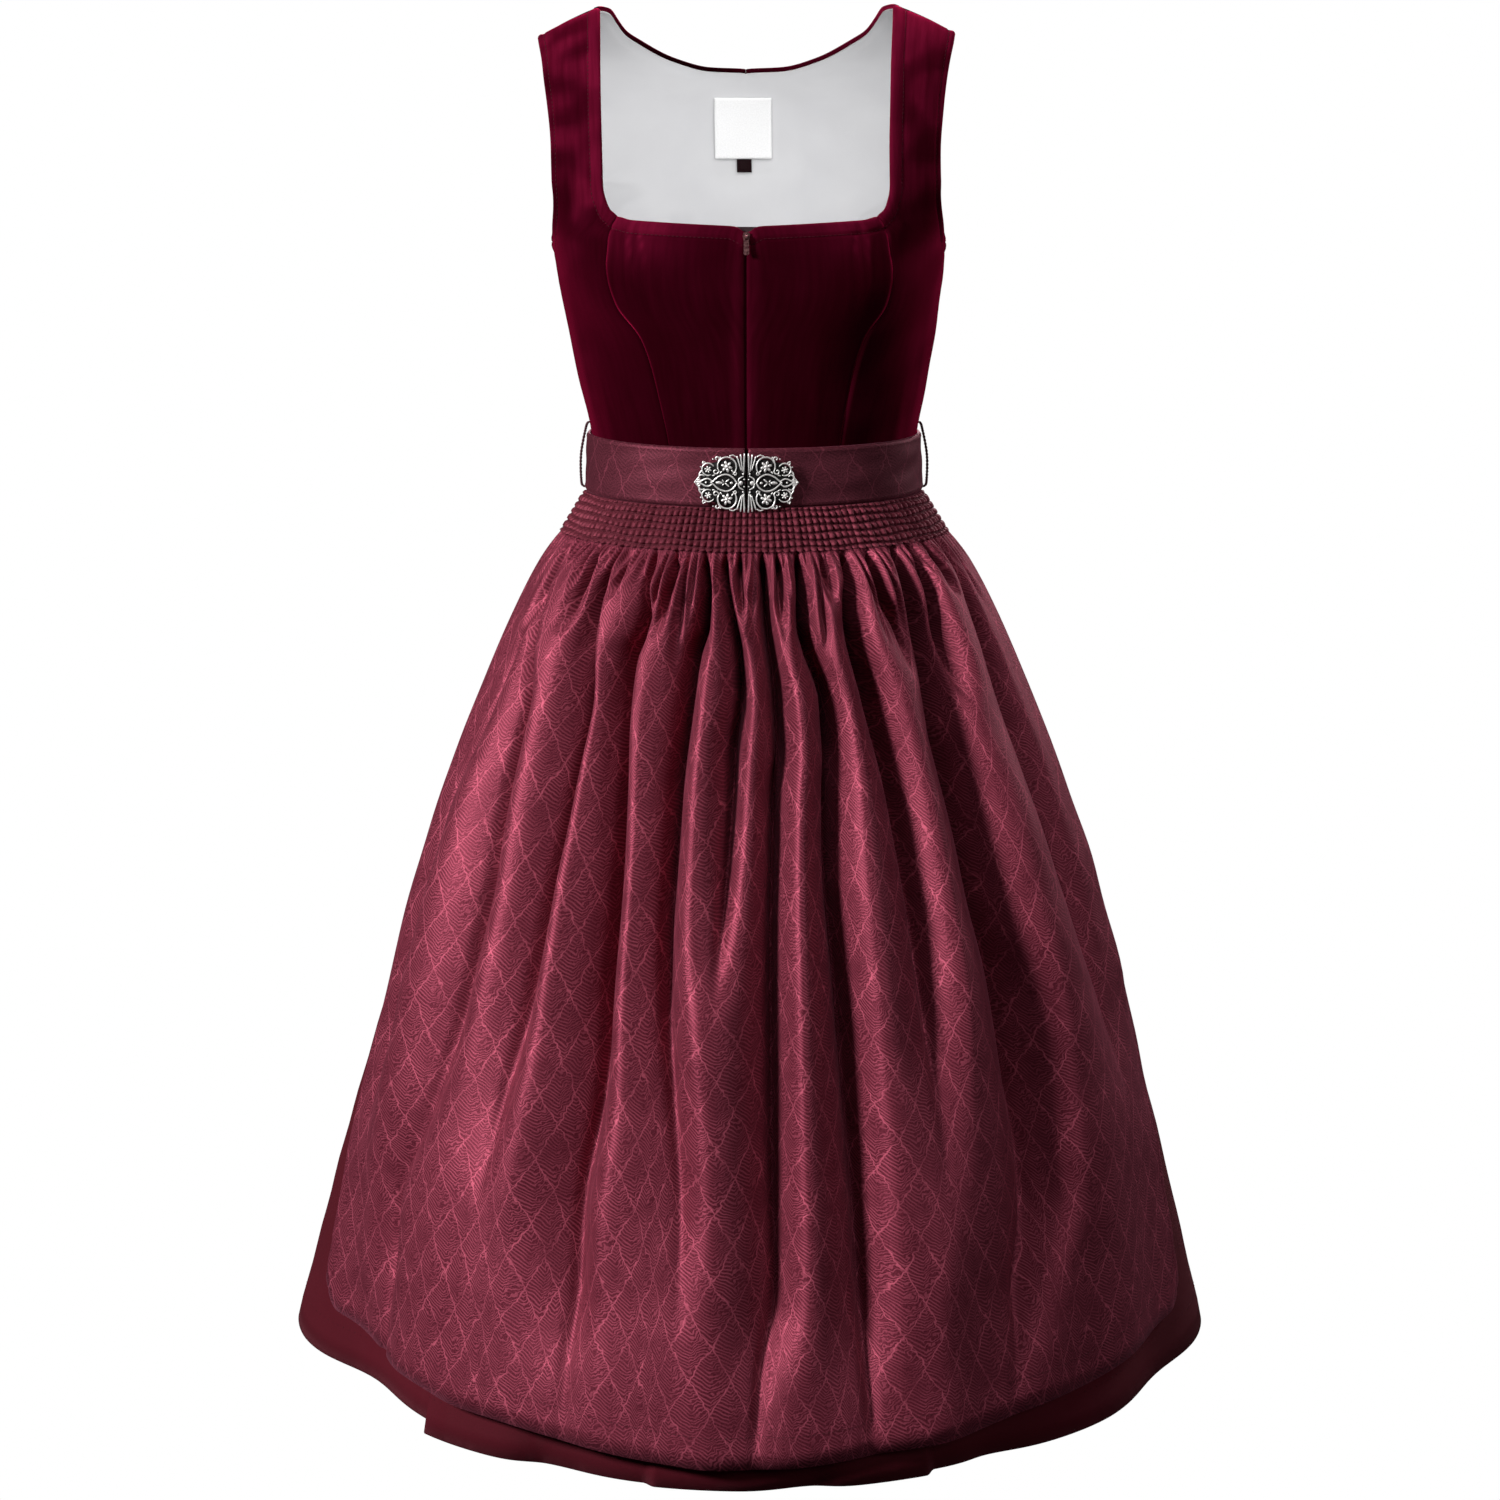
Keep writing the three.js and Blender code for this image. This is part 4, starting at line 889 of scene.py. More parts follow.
hanging_valleys = [
    # gentle and steep reach in degrees, then drop, azimuth and depth share down each valley
    (4.0, 3.0, [(100, -66, 0), (126, -66, 0.3), (155, -66.4, 0.3), (234, -71, 0.2), (308, -70, 0.3),
                (386, -71, 0.4), (500, -71, 0)]),
    (3.8, 2.6, [(42, -63, 0.6), (63, -62.5, 0.8), (80, -60.6, 0.75), (108, -57.7, 0.5), (149, -53.1, 0.4),
                (219, -52, 0.45), (289, -50.2, 0.5), (361, -50.6, 0.5), (436, -52.7, 0.4),
                (517, -57.7, 0.45), (590, -56.4, 0.5), (648, -55, 0.4)]),
    (4.2, 2.2, [(50, -42, 0.3), (73, -41, 0.9), (94, -40.4, 1), (142, -38.8, 1), (177, -38.7, 0.85),
                (280, -38.6, 0.75), (349, -38.4, 0.6), (420, -39.1, 0.35), (500, -39.5, 0)]),
    (4.2, 2.2, [(42, -29.5, 0.5), (56, -29.3, 0.7), (72, -28.3, 0.6), (91, -27.8, 0.8), (112, -29, 0.9),
                (139, -29.2, 1), (206, -27.9, 1), (273, -26.7, 1), (341, -26.2, 1), (408, -25.3, 0.9),
                (477, -26.3, 0.8), (545, -25.3, 0.6), (620, -25, 0.2)]),
    (4.0, 2.2, [(42, -14.5, 0.6), (51, -14.2, 0.95), (68, -13.4, 1), (88, -13.4, 1), (109, -14.8, 0.95),
                (136, -15.4, 0.85), (203, -16.7, 0.9), (269, -16.7, 0.85), (336, -15.8, 0.75),
                (402, -13.7, 0.6), (469, -11.9, 0.45), (560, -11, 0)]),
    (3.4, 2.0, [(42, -9, 0.6), (51, -8.8, 0.9), (68, -7.6, 0.85), (108, -4.6, 0.75), (135, -4.1, 0.85),
                (168, -5.6, 0.9), (201, -6, 0.85), (267, -7, 0.6), (340, -8, 0)]),
    (4.2, 2.2, [(42, 1.5, 0.8), (51, 1.6, 1), (88, 2.3, 1), (135, 3.9, 1), (168, 4.0, 1), (201, 2.6, 1),
                (333, 1.3, 1), (466, 1.6, 1), (533, 1.9, 0.9), (587, -0.1, 0.7), (648, -1, 0.4)]),
    (4.0, 2.2, [(42, 11.5, 0.7), (51, 11.5, 0.9), (88, 11.1, 1), (108, 12.3, 1), (136, 14.5, 0.9),
                (169, 14.4, 1), (202, 13.2, 1), (268, 12, 1), (335, 12.5, 1), (469, 13.3, 0.95),
                (537, 13.6, 0.9), (591, 13.8, 0.8), (648, 14, 0.5)]),
    (4.2, 2.4, [(42, 25, 0.7), (53, 24.8, 0.8), (69, 23.7, 1), (90, 22.8, 0.9), (138, 24.5, 0.95),
                (205, 25.7, 0.85), (273, 25.8, 0.75), (340, 25.3, 0.6), (420, 25, 0.2), (480, 25, 0)]),
    (5.0, 2.6, [(42, 42.5, 0.7), (56, 42, 0.95), (74, 41.7, 1), (115, 41.1, 1), (143, 40.4, 1),
                (177, 39.6, 1), (281, 39.6, 1), (351, 40.8, 1), (422, 40.5, 0.95), (490, 39.2, 0.8),
                (555, 34.8, 0.6), (630, 32, 0.2)]),
    (4.4, 3.0, [(42, 66, 0.7), (64, 65, 0.9), (81, 63.2, 1), (124, 61.8, 1), (153, 61.1, 0.9),
                (226, 60.9, 0.8), (299, 61.5, 0.6), (380, 62, 0.3), (450, 62, 0)]),
    (3.0, 1.8, [(42, 49, 0.7), (58, 48.3, 0.9), (96, 46.9, 0.9), (117, 46.4, 0.6), (145, 45, 0)]),
    (2.4, 1.4, [(42, -49, 0.5), (53, -48.5, 0.7), (73, -48.5, 0.5), (98, -48, 0)]),
    (2.4, 1.4, [(42, -23, 0.5), (54, -22.5, 0.7), (70, -23, 0.6), (92, -23, 0)]),
    (2.4, 1.4, [(42, -38, 0.4), (54, -37, 0.6), (70, -37, 0)]),
    (2.4, 1.4, [(42, -4.8, 0.6), (51, -4.8, 0.8), (68, -4, 0.5), (88, -3.5, 0)]),
    (2.4, 1.4, [(42, 5.8, 0.5), (51, 6, 0.7), (68, 5.5, 0.5), (88, 5, 0)]),
    (2.6, 1.6, [(42, 32.5, 0.5), (54, 32.5, 0.75), (72, 33, 0.7), (93, 34, 0.5), (122, 34, 0)]),
    (2.4, 1.4, [(42, 56, 0.5), (56, 55.5, 0.7), (74, 55, 0)]),
    (2.4, 1.4, [(42, 18.5, 0.5), (54, 18, 0.6), (72, 18, 0)]),
]


def hanging(azimuth, drop):
    """The valleys that skirt and apron hang in together: 0 on a crest to 1 at the bottom, and the
    sink."""
    left = np.ones(azimuth.shape)
    pinched = np.zeros(azimuth.shape)
    wide = 0.55 + 0.5 * eased((drop - 40) / 160)
    for gentle, steep, places in hanging_valleys:
        track = table("drop azimuth depth", places)
        turn = azimuth - read(track, "azimuth", drop) - 0.6 - 0.9 * eased((drop - 60) / 200)
        flank = np.abs(turn / wide)
        profile = np.where(turn < 0, np.exp(-(flank / gentle / 1.25) ** 1.5),
                           np.exp(-(flank / steep / 1.3) ** 2.0))
        deep = read(track, "depth", drop)
        left *= 1 - deep * profile
        pinched = np.maximum(pinched, deep * hump(turn, 1.15 - 0.25 * eased((drop - 60) / 120)))
    sink = SHARED_SINK * (1 - left) * grown(drop, 34, 610, 70)
    sink += CREASE * pinched * (1 - 0.6 * eased((drop - 150) / 350)) * grown(drop, 34, 640, 16)
    return 1 - left, sink


def skirt_surface(azimuth, drop, gathers):
    inwards = hem_dent(azimuth, drop) + gathers + hanging(azimuth, drop)[1]
    for place, start, end, depth, reach, lean in zip(*skirt_troughs.values()):
        trough = lopsided(turn_between(azimuth, place), reach, lean)
        inwards = inwards + depth * trough * grown(drop, start, end)
    growth = eased((drop - 380) / 240)
    for place, depth, outwards in zip(*hem_steps.values()):
        past = turn_between(azimuth, place) * outwards
        inwards = inwards + depth * growth * eased(past / 1.6) * (1 - eased((past - 3) / 26))
    return inwards


skirt_cotton, tree, principled = shader("dark red skirt cotton")
flat = node(tree, "ShaderNodeUVMap").outputs[0]
threads = placed(tree, weave, Cloth=flat, Thread=0.0008)
uneven = node(tree, "ShaderNodeTexNoise", Vector=flat, Scale=5.0, Detail=4.0)
tone = math_node(tree, "ADD", math_node(tree, "MULTIPLY", uneven.outputs[0], 0.7),
                 math_node(tree, "MULTIPLY", threads.outputs["Fleck"], 0.3))
coloured(tree, principled, tone, [(0.34, (0.055, 0.0031, 0.0074)), (0.66, (0.098, 0.0060, 0.0142))])
bumped(tree, principled, threads.outputs["Height"], 0.35, 0.0002)
constants(principled, Roughness=0.7, Specular_IOR_Level=0.1, Sheen_Weight=0.10,
          Sheen_Tint=(0.9, 0.25, 0.32, 1))

drop = (2 + (SKIRT_HEM - 2) * np.linspace(0, 1, 61) ** 1.35)[:, None]
for name, centre, gathered in (("skirt_front", 0, False), ("skirt_back", 180, True)):
    half_turn = 90 - SEAM_TURN + SIDE_OVERLAP * gathered
    azimuth = centre + np.linspace(-half_turn, half_turn, 521)[None, :] + 0 * drop
    level = drop + 0 * azimuth
    places = centre + (np.arange(GATHERS) + 0.5) / GATHERS * 180 - 90
    tall, longest = (4.4, 200) if gathered else (2.2, 80)
    ruched = short_gathers(GATHER_SEED, azimuth, level, places, 2, longest, tall, 1.05)
    ruched *= eased(level / 24)
    inwards = skirt_surface(azimuth, level, tall - np.minimum(ruched, tall) if gathered else 0)
    if gathered:
        inwards -= tall * eased((level - 140) / 90)
    inwards += 0.5 * unevenness(57 + gathered, 10, azimuth, level, 2, 8) * eased((level - 60) / 100)
    hem_gap = SKIRT_HEM - level
    inwards += 0.7 * hump(hem_gap - SKIRT_HEM_STITCHES, 1.4) + 0.5 * hump(hem_gap, 1.2)
    seams = 90 - np.abs(turn_between(azimuth, centre))
    inwards += 1.0 * hump(seams / 180 * np.pi * read(skirt_form, "half_width", level), 2.2)
    inwards += 0.4 * gathered * hump(seams, 0.35)
    inwards = np.maximum(inwards, -1.5)
    outer = plan_points(skirt_form, level, azimuth, -inwards, -level)
    inner = plan_points(skirt_form, level, azimuth, -inwards - SKIRT, -level)
    piece = cloth_mesh(name + "_cloth", outer, inner, flat_measures(outer), [skirt_cotton])
    as_cloth(piece, name, "skirt_cotton", flat=flat_size(outer), held="gathered",
             rests_on=["velvet_back_left", "velvet_back_right"], area=surface_area(outer))
    hem_line = line_at(outer.transpose(1, 0, 2), hem_gap.T + 0 * azimuth.T, SKIRT_HEM_STITCHES)
    hem_stitches = stitches(hem_line, 7, 1.4)
    assembled(name + "_hem_stitches", hem_stitches, bodice_thread)


# Apron: one straight width of satin jacquard with a woven lozenge figure. Its top is drawn up by six
# rows of smocking stitches, and below them the gathers run together into the main folds.
APRON = 2.0
APRON_GAP = 1.1
APRON_HEM = 648.5
APRON_HEM_STITCHES = 22
SMOCKING_TOP = 7.3
SMOCKING_END = 37.0
RIBS = 68
LOZENGE = (0.028, 0.047)
COMB = 0.0026
apron_edge = table("drop azimuth", [[7, 85], [60, 85], [200, 81], [400, 77], [APRON_HEM, 73.5]])
apron_crest = table("drop height", [
    [37, 2.8], [39, 5.0], [43, 8.5], [52, 12.5], [80, 17], [110, 20], [200, 25], [320, 26], [450, 20],
    [APRON_HEM, 8]])
small_folds = table("top middle hem start end height reach lean", [
    [-17, -21, -21, 200, 560, 3, 2.2, 0.3], [7, 7.5, 8, 120, 620, 2.5, 2.2, 0.3],
    [30, 32, 33, 120, 420, 3, 3.0, 0.4], [-34, -33, -34, 140, 520, 3, 2.6, 0.4],
    [-75, -74, -72, 45, 420, 4, 2.6, 0.3], [76, 73, 71, 45, 420, 4, 2.6, -0.3],
    [-57, -60, -62, 160, 620, 4, 4.0, 0.4], [50, 51, 50, 160, 560, 4, 5.0, 0.2],
    [-30, -33, -38, 380, 900, 4, 4.5, 0.3], [22, 27, 24, 470, 900, 5, 4.0, 0.2],
    [-10, -8, -5, 300, 760, 4, 4.5, 0.3]])


def fold_run(fold, drop):
    """The azimuth of a fold's ridge on its way down."""
    path = table("drop azimuth", [[90, fold[0]], [320, fold[1]], [APRON_HEM, fold[2]]])
    return read(path, "azimuth", drop)


def rib_azimuth(share):
    """The smocked ribs stand a little wider apart towards the sides."""
    return 85 * (0.8 * share + 0.2 * share**3)


def short_gaps(seed, azimuth, drop, places):
    """Gaps that run on down from between the smocked ribs, each as far as it happens to."""
    draws = np.random.default_rng(seed)
    gaps = np.zeros(azimuth.shape)
    for place in places:
        length = 5 + 55 * draws.uniform() ** 2.4
        centre = place + draws.uniform(-1.2, 1.2) * eased((drop - SMOCKING_END) / 40)
        fade = 1 - eased((drop - SMOCKING_END - 0.5 * length) / (length + 12))
        wide = draws.uniform(0.45, 0.75) * (1 + 1.3 * eased((drop - SMOCKING_END) / 60))
        gaps = np.maximum(gaps, draws.uniform(0.75, 1) * fade * hump(azimuth - centre, wide))
    return gaps


def apron_rise(azimuth, drop, gaps):
    crest = read(apron_crest, "height", drop) * (1 - 0.75 * eased((np.abs(azimuth) - 52) / 26))
    for fold in zip(*small_folds.values()):
        _, _, _, start, end, height, reach, lean = fold
        turn = azimuth - fold_run(fold, drop)
        crest = crest + height * lopsided(turn, reach, lean) * grown(drop, start, end, 60)
    cut, sink = hanging(azimuth, drop)
    return crest * (1 - cut) * (1 - gaps), sink


def hem_lift(share):
    past = np.maximum(0, (np.abs(share) - 0.93) / 0.07)
    return 21 * eased(np.abs(share) / 0.75) + 22 * past**2


# The woven figure: lozenges drawn by fine lines, with fern-like combs along their inner sides.
figure, given, result = effect(
    "woven lozenge figure",
    [("Cloth", "NodeSocketVector", None), ("Width", "NodeSocketFloat", LOZENGE[0]),
     ("Length", "NodeSocketFloat", LOZENGE[1]), ("Comb", "NodeSocketFloat", COMB)],
    [("Lines", "NodeSocketFloat"), ("Combs", "NodeSocketFloat")])
wander = node(figure, "ShaderNodeTexNoise", Vector=given["Cloth"], Scale=55.0, Detail=2.0)
places = node(figure, "ShaderNodeSeparateXYZ", Vector=given["Cloth"]).outputs
shaky = node(figure, "ShaderNodeTexNoise", Vector=given["Cloth"], Scale=260.0, Detail=1.0)
astray = math_node(figure, "MULTIPLY", math_node(figure, "SUBTRACT", wander.outputs[0], 0.5), 0.34)
astray = math_node(figure, "MULTIPLY_ADD",
                   math_node(figure, "SUBTRACT", shaky.outputs[0], 0.5), 0.17, astray)
u = math_node(figure, "ADD", math_node(figure, "DIVIDE", places[0], given["Width"]), astray)
v = math_node(figure, "DIVIDE", places[1], given["Length"])
signed = []
for operation in ("ADD", "SUBTRACT"):
    rising = math_node(figure, operation, u, v)
    signed.append(math_node(figure, "SUBTRACT", math_node(figure, "FRACT", rising), 0.5))
nearness = [math_node(figure, "SUBTRACT", 0.5, math_node(figure, "ABSOLUTE", some)) for some in signed]
side_gap = math_node(figure, "MINIMUM", *nearness)
outline = node(figure, "ShaderNodeMapRange", Value=side_gap, From_Min=0.030, From_Max=0.008)
sideways = math_node(figure, "ABSOLUTE", math_node(figure, "ADD", *signed))
tooth = math_node(figure, "ADD", math_node(figure, "DIVIDE", places[1], given["Comb"]),
                  math_node(figure, "MULTIPLY", sideways, 3.2))
tooth = math_node(figure, "MULTIPLY_ADD", shaky.outputs[0], 1.1, math_node(
    figure, "MULTIPLY_ADD", wander.outputs[0], 5.0, tooth))
teeth = math_node(figure, "SINE", math_node(figure, "MULTIPLY", tooth, 2 * math.pi))
reach = math_node(figure, "MULTIPLY_ADD", wander.outputs[0], 0.9, 0.06)
near_side = node(figure, "ShaderNodeMapRange", Value=math_node(figure, "SUBTRACT", reach, side_gap),
                 From_Min=-0.30, From_Max=0.12)
combs = math_node(figure, "MULTIPLY", node(
    figure, "ShaderNodeMapRange", Value=teeth, From_Min=-0.1, From_Max=0.6).outputs[0], near_side.outputs[0])
figure.links.new(outline.outputs[0], result["Lines"])
figure.links.new(combs, result["Combs"])


def jacquard_satin(name, ground, figure_colour, strength=1.0, comb=1.0):
    material, tree, principled = shader(name)
    flat = node(tree, "ShaderNodeUVMap").outputs[0]
    drawn = placed(tree, figure, Cloth=flat)
    threads = placed(tree, weave, Cloth=flat, Thread=0.0007)
    clouds = node(tree, "ShaderNodeTexNoise", Vector=flat, Scale=38.0, Detail=4.0, Roughness=0.65)
    worn = math_node(tree, "MULTIPLY_ADD", clouds.outputs[0], 2.4, -0.40, clamp=True)
    lines = math_node(tree, "MULTIPLY", drawn.outputs["Lines"], worn)
    worn_combs = math_node(tree, "MULTIPLY", drawn.outputs["Combs"], worn)
    comb_marks = math_node(tree, "MULTIPLY", worn_combs, comb * 0.5)
    marks = math_node(tree, "MULTIPLY", math_node(tree, "MAXIMUM", lines, comb_marks), strength, clamp=True)
    fleck = ramp(tree, threads.outputs["Fleck"], [(0.32, tuple(0.62 * c for c in ground)),
                                                   (0.68, tuple(1.38 * c for c in ground))])
    colour = node(tree, "ShaderNodeMix", {"data_type": "RGBA"})
    tree.links.new(marks, colour.inputs[0])
    tree.links.new(fleck, colour.inputs[6])
    colour.inputs[7].default_value = (*figure_colour, 1)
    tree.links.new(colour.outputs[2], principled.inputs["Base Color"])
    height = math_node(tree, "ADD", math_node(tree, "MULTIPLY", marks, 0.8),
                       math_node(tree, "MULTIPLY", threads.outputs["Height"], 0.18))
    bumped(tree, principled, height, 0.55, 0.00022)
    tree.links.new(math_node(tree, "MULTIPLY_ADD", marks, 0.06, 0.46), principled.inputs["Roughness"])
    constants(principled, Specular_Tint=(1.0, 0.34, 0.46, 1), Metallic=0.32, Specular_IOR_Level=0.25,
              Sheen_Weight=0.10, Sheen_Roughness=0.4, Sheen_Tint=(1.0, 0.30, 0.45, 1))
    return material


apron_jacquard = jacquard_satin("wine lozenge jacquard", (0.126, 0.0176, 0.0320), (0.480, 0.0930, 0.1450))

COLUMNS = 600
share = np.linspace(-1, 1, COLUMNS + 1)[None, :]
steps = np.concatenate([np.linspace(0, 70, 26)[:-1],
                        70 + (APRON_HEM - SMOCKING_END - 70.3) * np.linspace(0, 1, 54) ** 1.15])
drop = (SMOCKING_END + 0.3 + steps)[:, None] + 0 * share
drop = drop - hem_lift(share) * eased((drop - 300) / (APRON_HEM - 300)) ** 2
azimuth = share * read(apron_edge, "azimuth", drop)
gap_places = rib_azimuth(np.arange(1, RIBS) / RIBS * 2 - 1)
rise, sink = apron_rise(azimuth, drop, short_gaps(61, azimuth, drop, gap_places))
rise += 0.8 * unevenness(63, 12, azimuth, drop, 2, 8) * eased((drop - 120) / 160)
hem_gap = APRON_HEM - hem_lift(share) - drop
edge_turn = np.radians(read(apron_edge, "azimuth", drop))
side_gap = (1 - np.abs(share)) * edge_turn * read(skirt_form, "half_width", drop)
edge_relief = -0.7 * hump(hem_gap - APRON_HEM_STITCHES, 1.6) - 0.6 * hump(hem_gap, 1.5)
edge_relief += -0.6 * hump(side_gap - 9, 1.2) - 0.6 * hump(side_gap, 1.2)
base = APRON_GAP + 0.5 + np.maximum(rise, 0) - sink - hem_dent(azimuth, drop)
outer = plan_points(skirt_form, drop, azimuth, base + APRON - 0.8 + edge_relief, -drop)
inner = plan_points(skirt_form, drop, azimuth, base, -drop)
middle_row = np.abs(drop[:, COLUMNS // 2] - 330).argmin()
across = np.concatenate([[0], np.linalg.norm(np.diff(outer[middle_row], axis=0), axis=-1).cumsum()])
across -= across[-1] / 2
slant_drop = np.linspace(0, APRON_HEM, 200)
slant_steps = np.hypot(np.diff(read(skirt_form, "front", slant_drop)), np.diff(slant_drop))
slant = np.concatenate([[0], slant_steps.cumsum()])
flat = np.stack([across[None, :] + 0 * drop, np.interp(drop, slant_drop, slant)], -1)
apron_width = across[-1] * 2
piece = cloth_mesh("apron_cloth", outer, inner, flat, [apron_jacquard])
apron_length = slant[-1] - np.interp(SMOCKING_END, slant_drop, slant)
as_cloth(piece, "apron_panel", "jacquard", held="gathered", rests_on=["apron_smocked_band"],
         flat=(apron_width * MILLIMETRE, apron_length * MILLIMETRE))
apron_thread = thread_shader("wine apron thread", (0.055, 0.007, 0.013), (0.130, 0.018, 0.032))
hem_stitches = stitches(line_at(outer.transpose(1, 0, 2), hem_gap.T, APRON_HEM_STITCHES), 3.6, 2.4)
assembled("apron_hem_stitches", hem_stitches, apron_thread)

STITCH_ROWS = (9.6, 14.6, 19.6, 24.6, 29.6, 34.4)
drop = np.linspace(SMOCKING_TOP, SMOCKING_END, 65)[:, None]
share = np.linspace(-1, 1, RIBS * 8 + 1)[None, :]
azimuth = rib_azimuth(share) + 0 * drop
phase = (share + 1) / 2 * RIBS
rib = np.abs(np.sin(phase * np.pi)) ** 0.55
draws = np.random.default_rng(71)
tall = 1 + 0.22 * draws.uniform(-1, 1, RIBS + 1)[np.minimum(phase.astype(int), RIBS)]
rib_height = 3.7 * rib * tall + 0 * drop
for stitch_row in STITCH_ROWS:
    wobble = 0.5 * np.sin(share * 23 + stitch_row)
    near = hump(drop - stitch_row + wobble, 0.75)
    rib_height = rib_height * (1 - 0.65 * near)
rib_height *= 1 - 0.3 * hump(drop - SMOCKING_TOP, 1.2)
lift = 0.3 * (SMOCKING_END - drop) / (SMOCKING_END - SMOCKING_TOP) + 1.1
depth = drop + 0 * azimuth
outer = plan_points(skirt_form, depth, azimuth, lift + APRON - 0.9 + rib_height, -depth)
inner = plan_points(skirt_form, depth, azimuth, lift + 0 * azimuth, -depth)
threads = []
for stitch_row in STITCH_ROWS:
    level = stitch_row - 0.5 * np.sin(share * 23 + stitch_row)
    over = np.abs(drop - stitch_row).argmin()
    bridge = np.maximum(rib_height[over] + 0.12, 1.1)
    thread = plan_points(skirt_form, level[0], azimuth[0], lift[over] + APRON - 0.9 + bridge, -level[0])
    threads.append(tube(thread[::2], 0.24, (0, 0, 1), sides=5))
assembled("smocking_threads", threads, apron_thread)
drawn_up = np.interp(share, np.linspace(-1, 1, COLUMNS + 1), across)
flat = np.stack([drawn_up + 0 * drop, drop + 0 * share], -1)
smocked_jacquard = jacquard_satin(
    "smocked jacquard", (0.125, 0.0210, 0.0330), (0.250, 0.060, 0.085), 0.5, 0.3)
piece = cloth_mesh("apron_smocked_band", outer, inner, flat, [smocked_jacquard])
as_cloth(piece, "apron_smocking", "jacquard", held="gathered", rests_on=["skirt_front_cloth"],
         flat=(apron_width * MILLIMETRE, 0.031), area=surface_area(outer))


# Belt: a doubled band of the same jacquard round the waist, turned in at both edges and pressed.
BELT_TOP = 36.0
BELT_END = -7.0
BELT = 2.4
BELT_SWAY = 3
BELT_STITCHES = 3.0
belt_form = table("height half_width front back sway", [
    [BELT_END, 128, 99.5, 92, BELT_SWAY], [BELT_TOP, 126, 97, 89, BELT_SWAY]])
height = np.linspace(BELT_TOP, BELT_END, 25)[:, None]
closure = np.degrees(np.arcsin((CLOSURE_X - BELT_SWAY) / read(belt_form, "half_width", height)))
turn = np.linspace(0.6, 359.4, 361)[None, :]
azimuth = closure + turn
edge = np.minimum(BELT_TOP - height, height - BELT_END) + 0 * azimuth
ripple = 0.35 * unevenness(81, 10, azimuth, height * 3, 2, 9) * np.clip(edge / 10, 0, 1)
ripple += 0.25 * hump(edge - 2.2, 0.8) - 0.9 * hump(edge, 0.9)
level = height + 0 * azimuth
outer = plan_points(belt_form, level, azimuth, ripple, level)
inner = plan_points(belt_form, level, azimuth, -BELT + 0 * azimuth, level)
flat = flat_measures(outer)
flat[..., 1] += 13
belt_jacquard = jacquard_satin("belt jacquard", (0.088, 0.0180, 0.0280), (0.210, 0.042, 0.066), 1.0, 0.6)
piece = cloth_mesh("belt_band", outer, inner, flat, [belt_jacquard])
as_cloth(piece, "belt", "jacquard", flat=flat_size(outer), held="stretched",
         rests_on=["velvet_front_side_left", "velvet_front_side_right"])
edge_lines = [line_at(outer[::-1].transpose(1, 0, 2), (BELT_TOP - level)[::-1].T, BELT_STITCHES),
              line_at(outer.transpose(1, 0, 2), (level - BELT_END).T, BELT_STITCHES)]
belt_stitches = [stitch for line in edge_lines for stitch in stitches(line, 3.4, 2.2, 0.2)]
assembled("belt_edge_stitches", belt_stitches, apron_thread)


# Clasp: two pierced plates of antique silver wirework, cast in one with their rosettes, fans and
# beads, and sewn to the belt's two ends so that they meet and hook together at the closure.
CLASP_CENTRE = 11.5
CLASP_CLEAR = 3.0
WIRE_HEIGHT = 1.0
clasp_scrolls = table("reach rise start_radius end_radius start_angle end_angle wire", [
    # round each rosette, and the curls that they end in
    [14.4, 11.9, 7.3, 6.5, 232, -38, 0.62],
    [22.4, 8.2, 2.3, 0.7, 140, 500, 0.52],
    [21.4, 17.4, 2.0, 0.7, 250, -80, 0.58],
    [28.0, 9.4, 4.8, 4.2, 150, -118, 0.58],
    [31.2, 13.9, 1.3, 0.5, 200, -100, 0.5],
    [32.6, 3.3, 2.2, 1.9, 150, -60, 0.55],
    [8.4, 6.6, 1.5, 0.6, 20, 330, 0.45]])
clasp_runs = [
    # wire, then reach and rise of the points that it runs through
    (0.62, [(7.2, 0.1), (9.6, 3.7), (14.4, 6.1), (20.2, 4.5), (25.4, 0.1)]),
    (0.62, [(25.0, 1.2), (27.8, 2.7), (30.6, 2.3), (33.6, 0.7), (37.2, 0.1)]),
    (0.65, [(32.4, 8.8), (34.2, 6.4), (34.8, 3.6), (37.4, 0.4)]),
    (0.52, [(7.6, 19.0), (9.8, 20.2), (12.4, 19.6)]),
    (0.50, [(5.9, 0.3), (5.2, 3.1), (2.2, 5.0)]),
]
clasp_fan = [
    # foot and tip of each flute, and its wire at the tip
    ((1.9, 7.6), (1.5, 21.4), 0.62), ((2.9, 8.4), (4.3, 20.8), 0.60), ((3.9, 9.4), (6.9, 19.4), 0.55),
]
clasp_rosettes = [
    # reach, rise, radius, petals, height of the middle
    (14.4, 11.9, 4.3, 6, 1.7), (28.0, 9.4, 2.7, 6, 1.3),
]
clasp_beads = [
    (37.4, 0, 1.0), (29.6, 0, 0.8), (25.6, 0, 0.9), (34.4, 5.4, 0.6), (21.0, 10.6, 0.6), (18.9, 18.5, 0.65),
    (24.4, 17.2, 0.55), (31.6, 15.2, 0.55), (33.4, 11.2, 0.55), (2.4, 6.6, 0.8), (1.6, 2.6, 0.6),
]
clasp_leaves = [
    # reach, rise, half length, half width, angle
    (20.0, 0, 2.8, 1.15, 0), (14.0, 1.5, 2.1, 0.62, 140), (17.0, 1.3, 1.3, 0.5, 55), (10.9, 0, 1.2, 0.9, 0),
    (4.0, 0, 1.5, 1.7, 0), (35.0, 1.5, 1.2, 0.5, -22), (10.2, 8.6, 1.4, 0.6, 50), (18.6, 7.6, 1.3, 0.6, -50),
    (23.9, 5.4, 1.4, 0.5, -20),
]
SHADOW_PLATE = 0.5


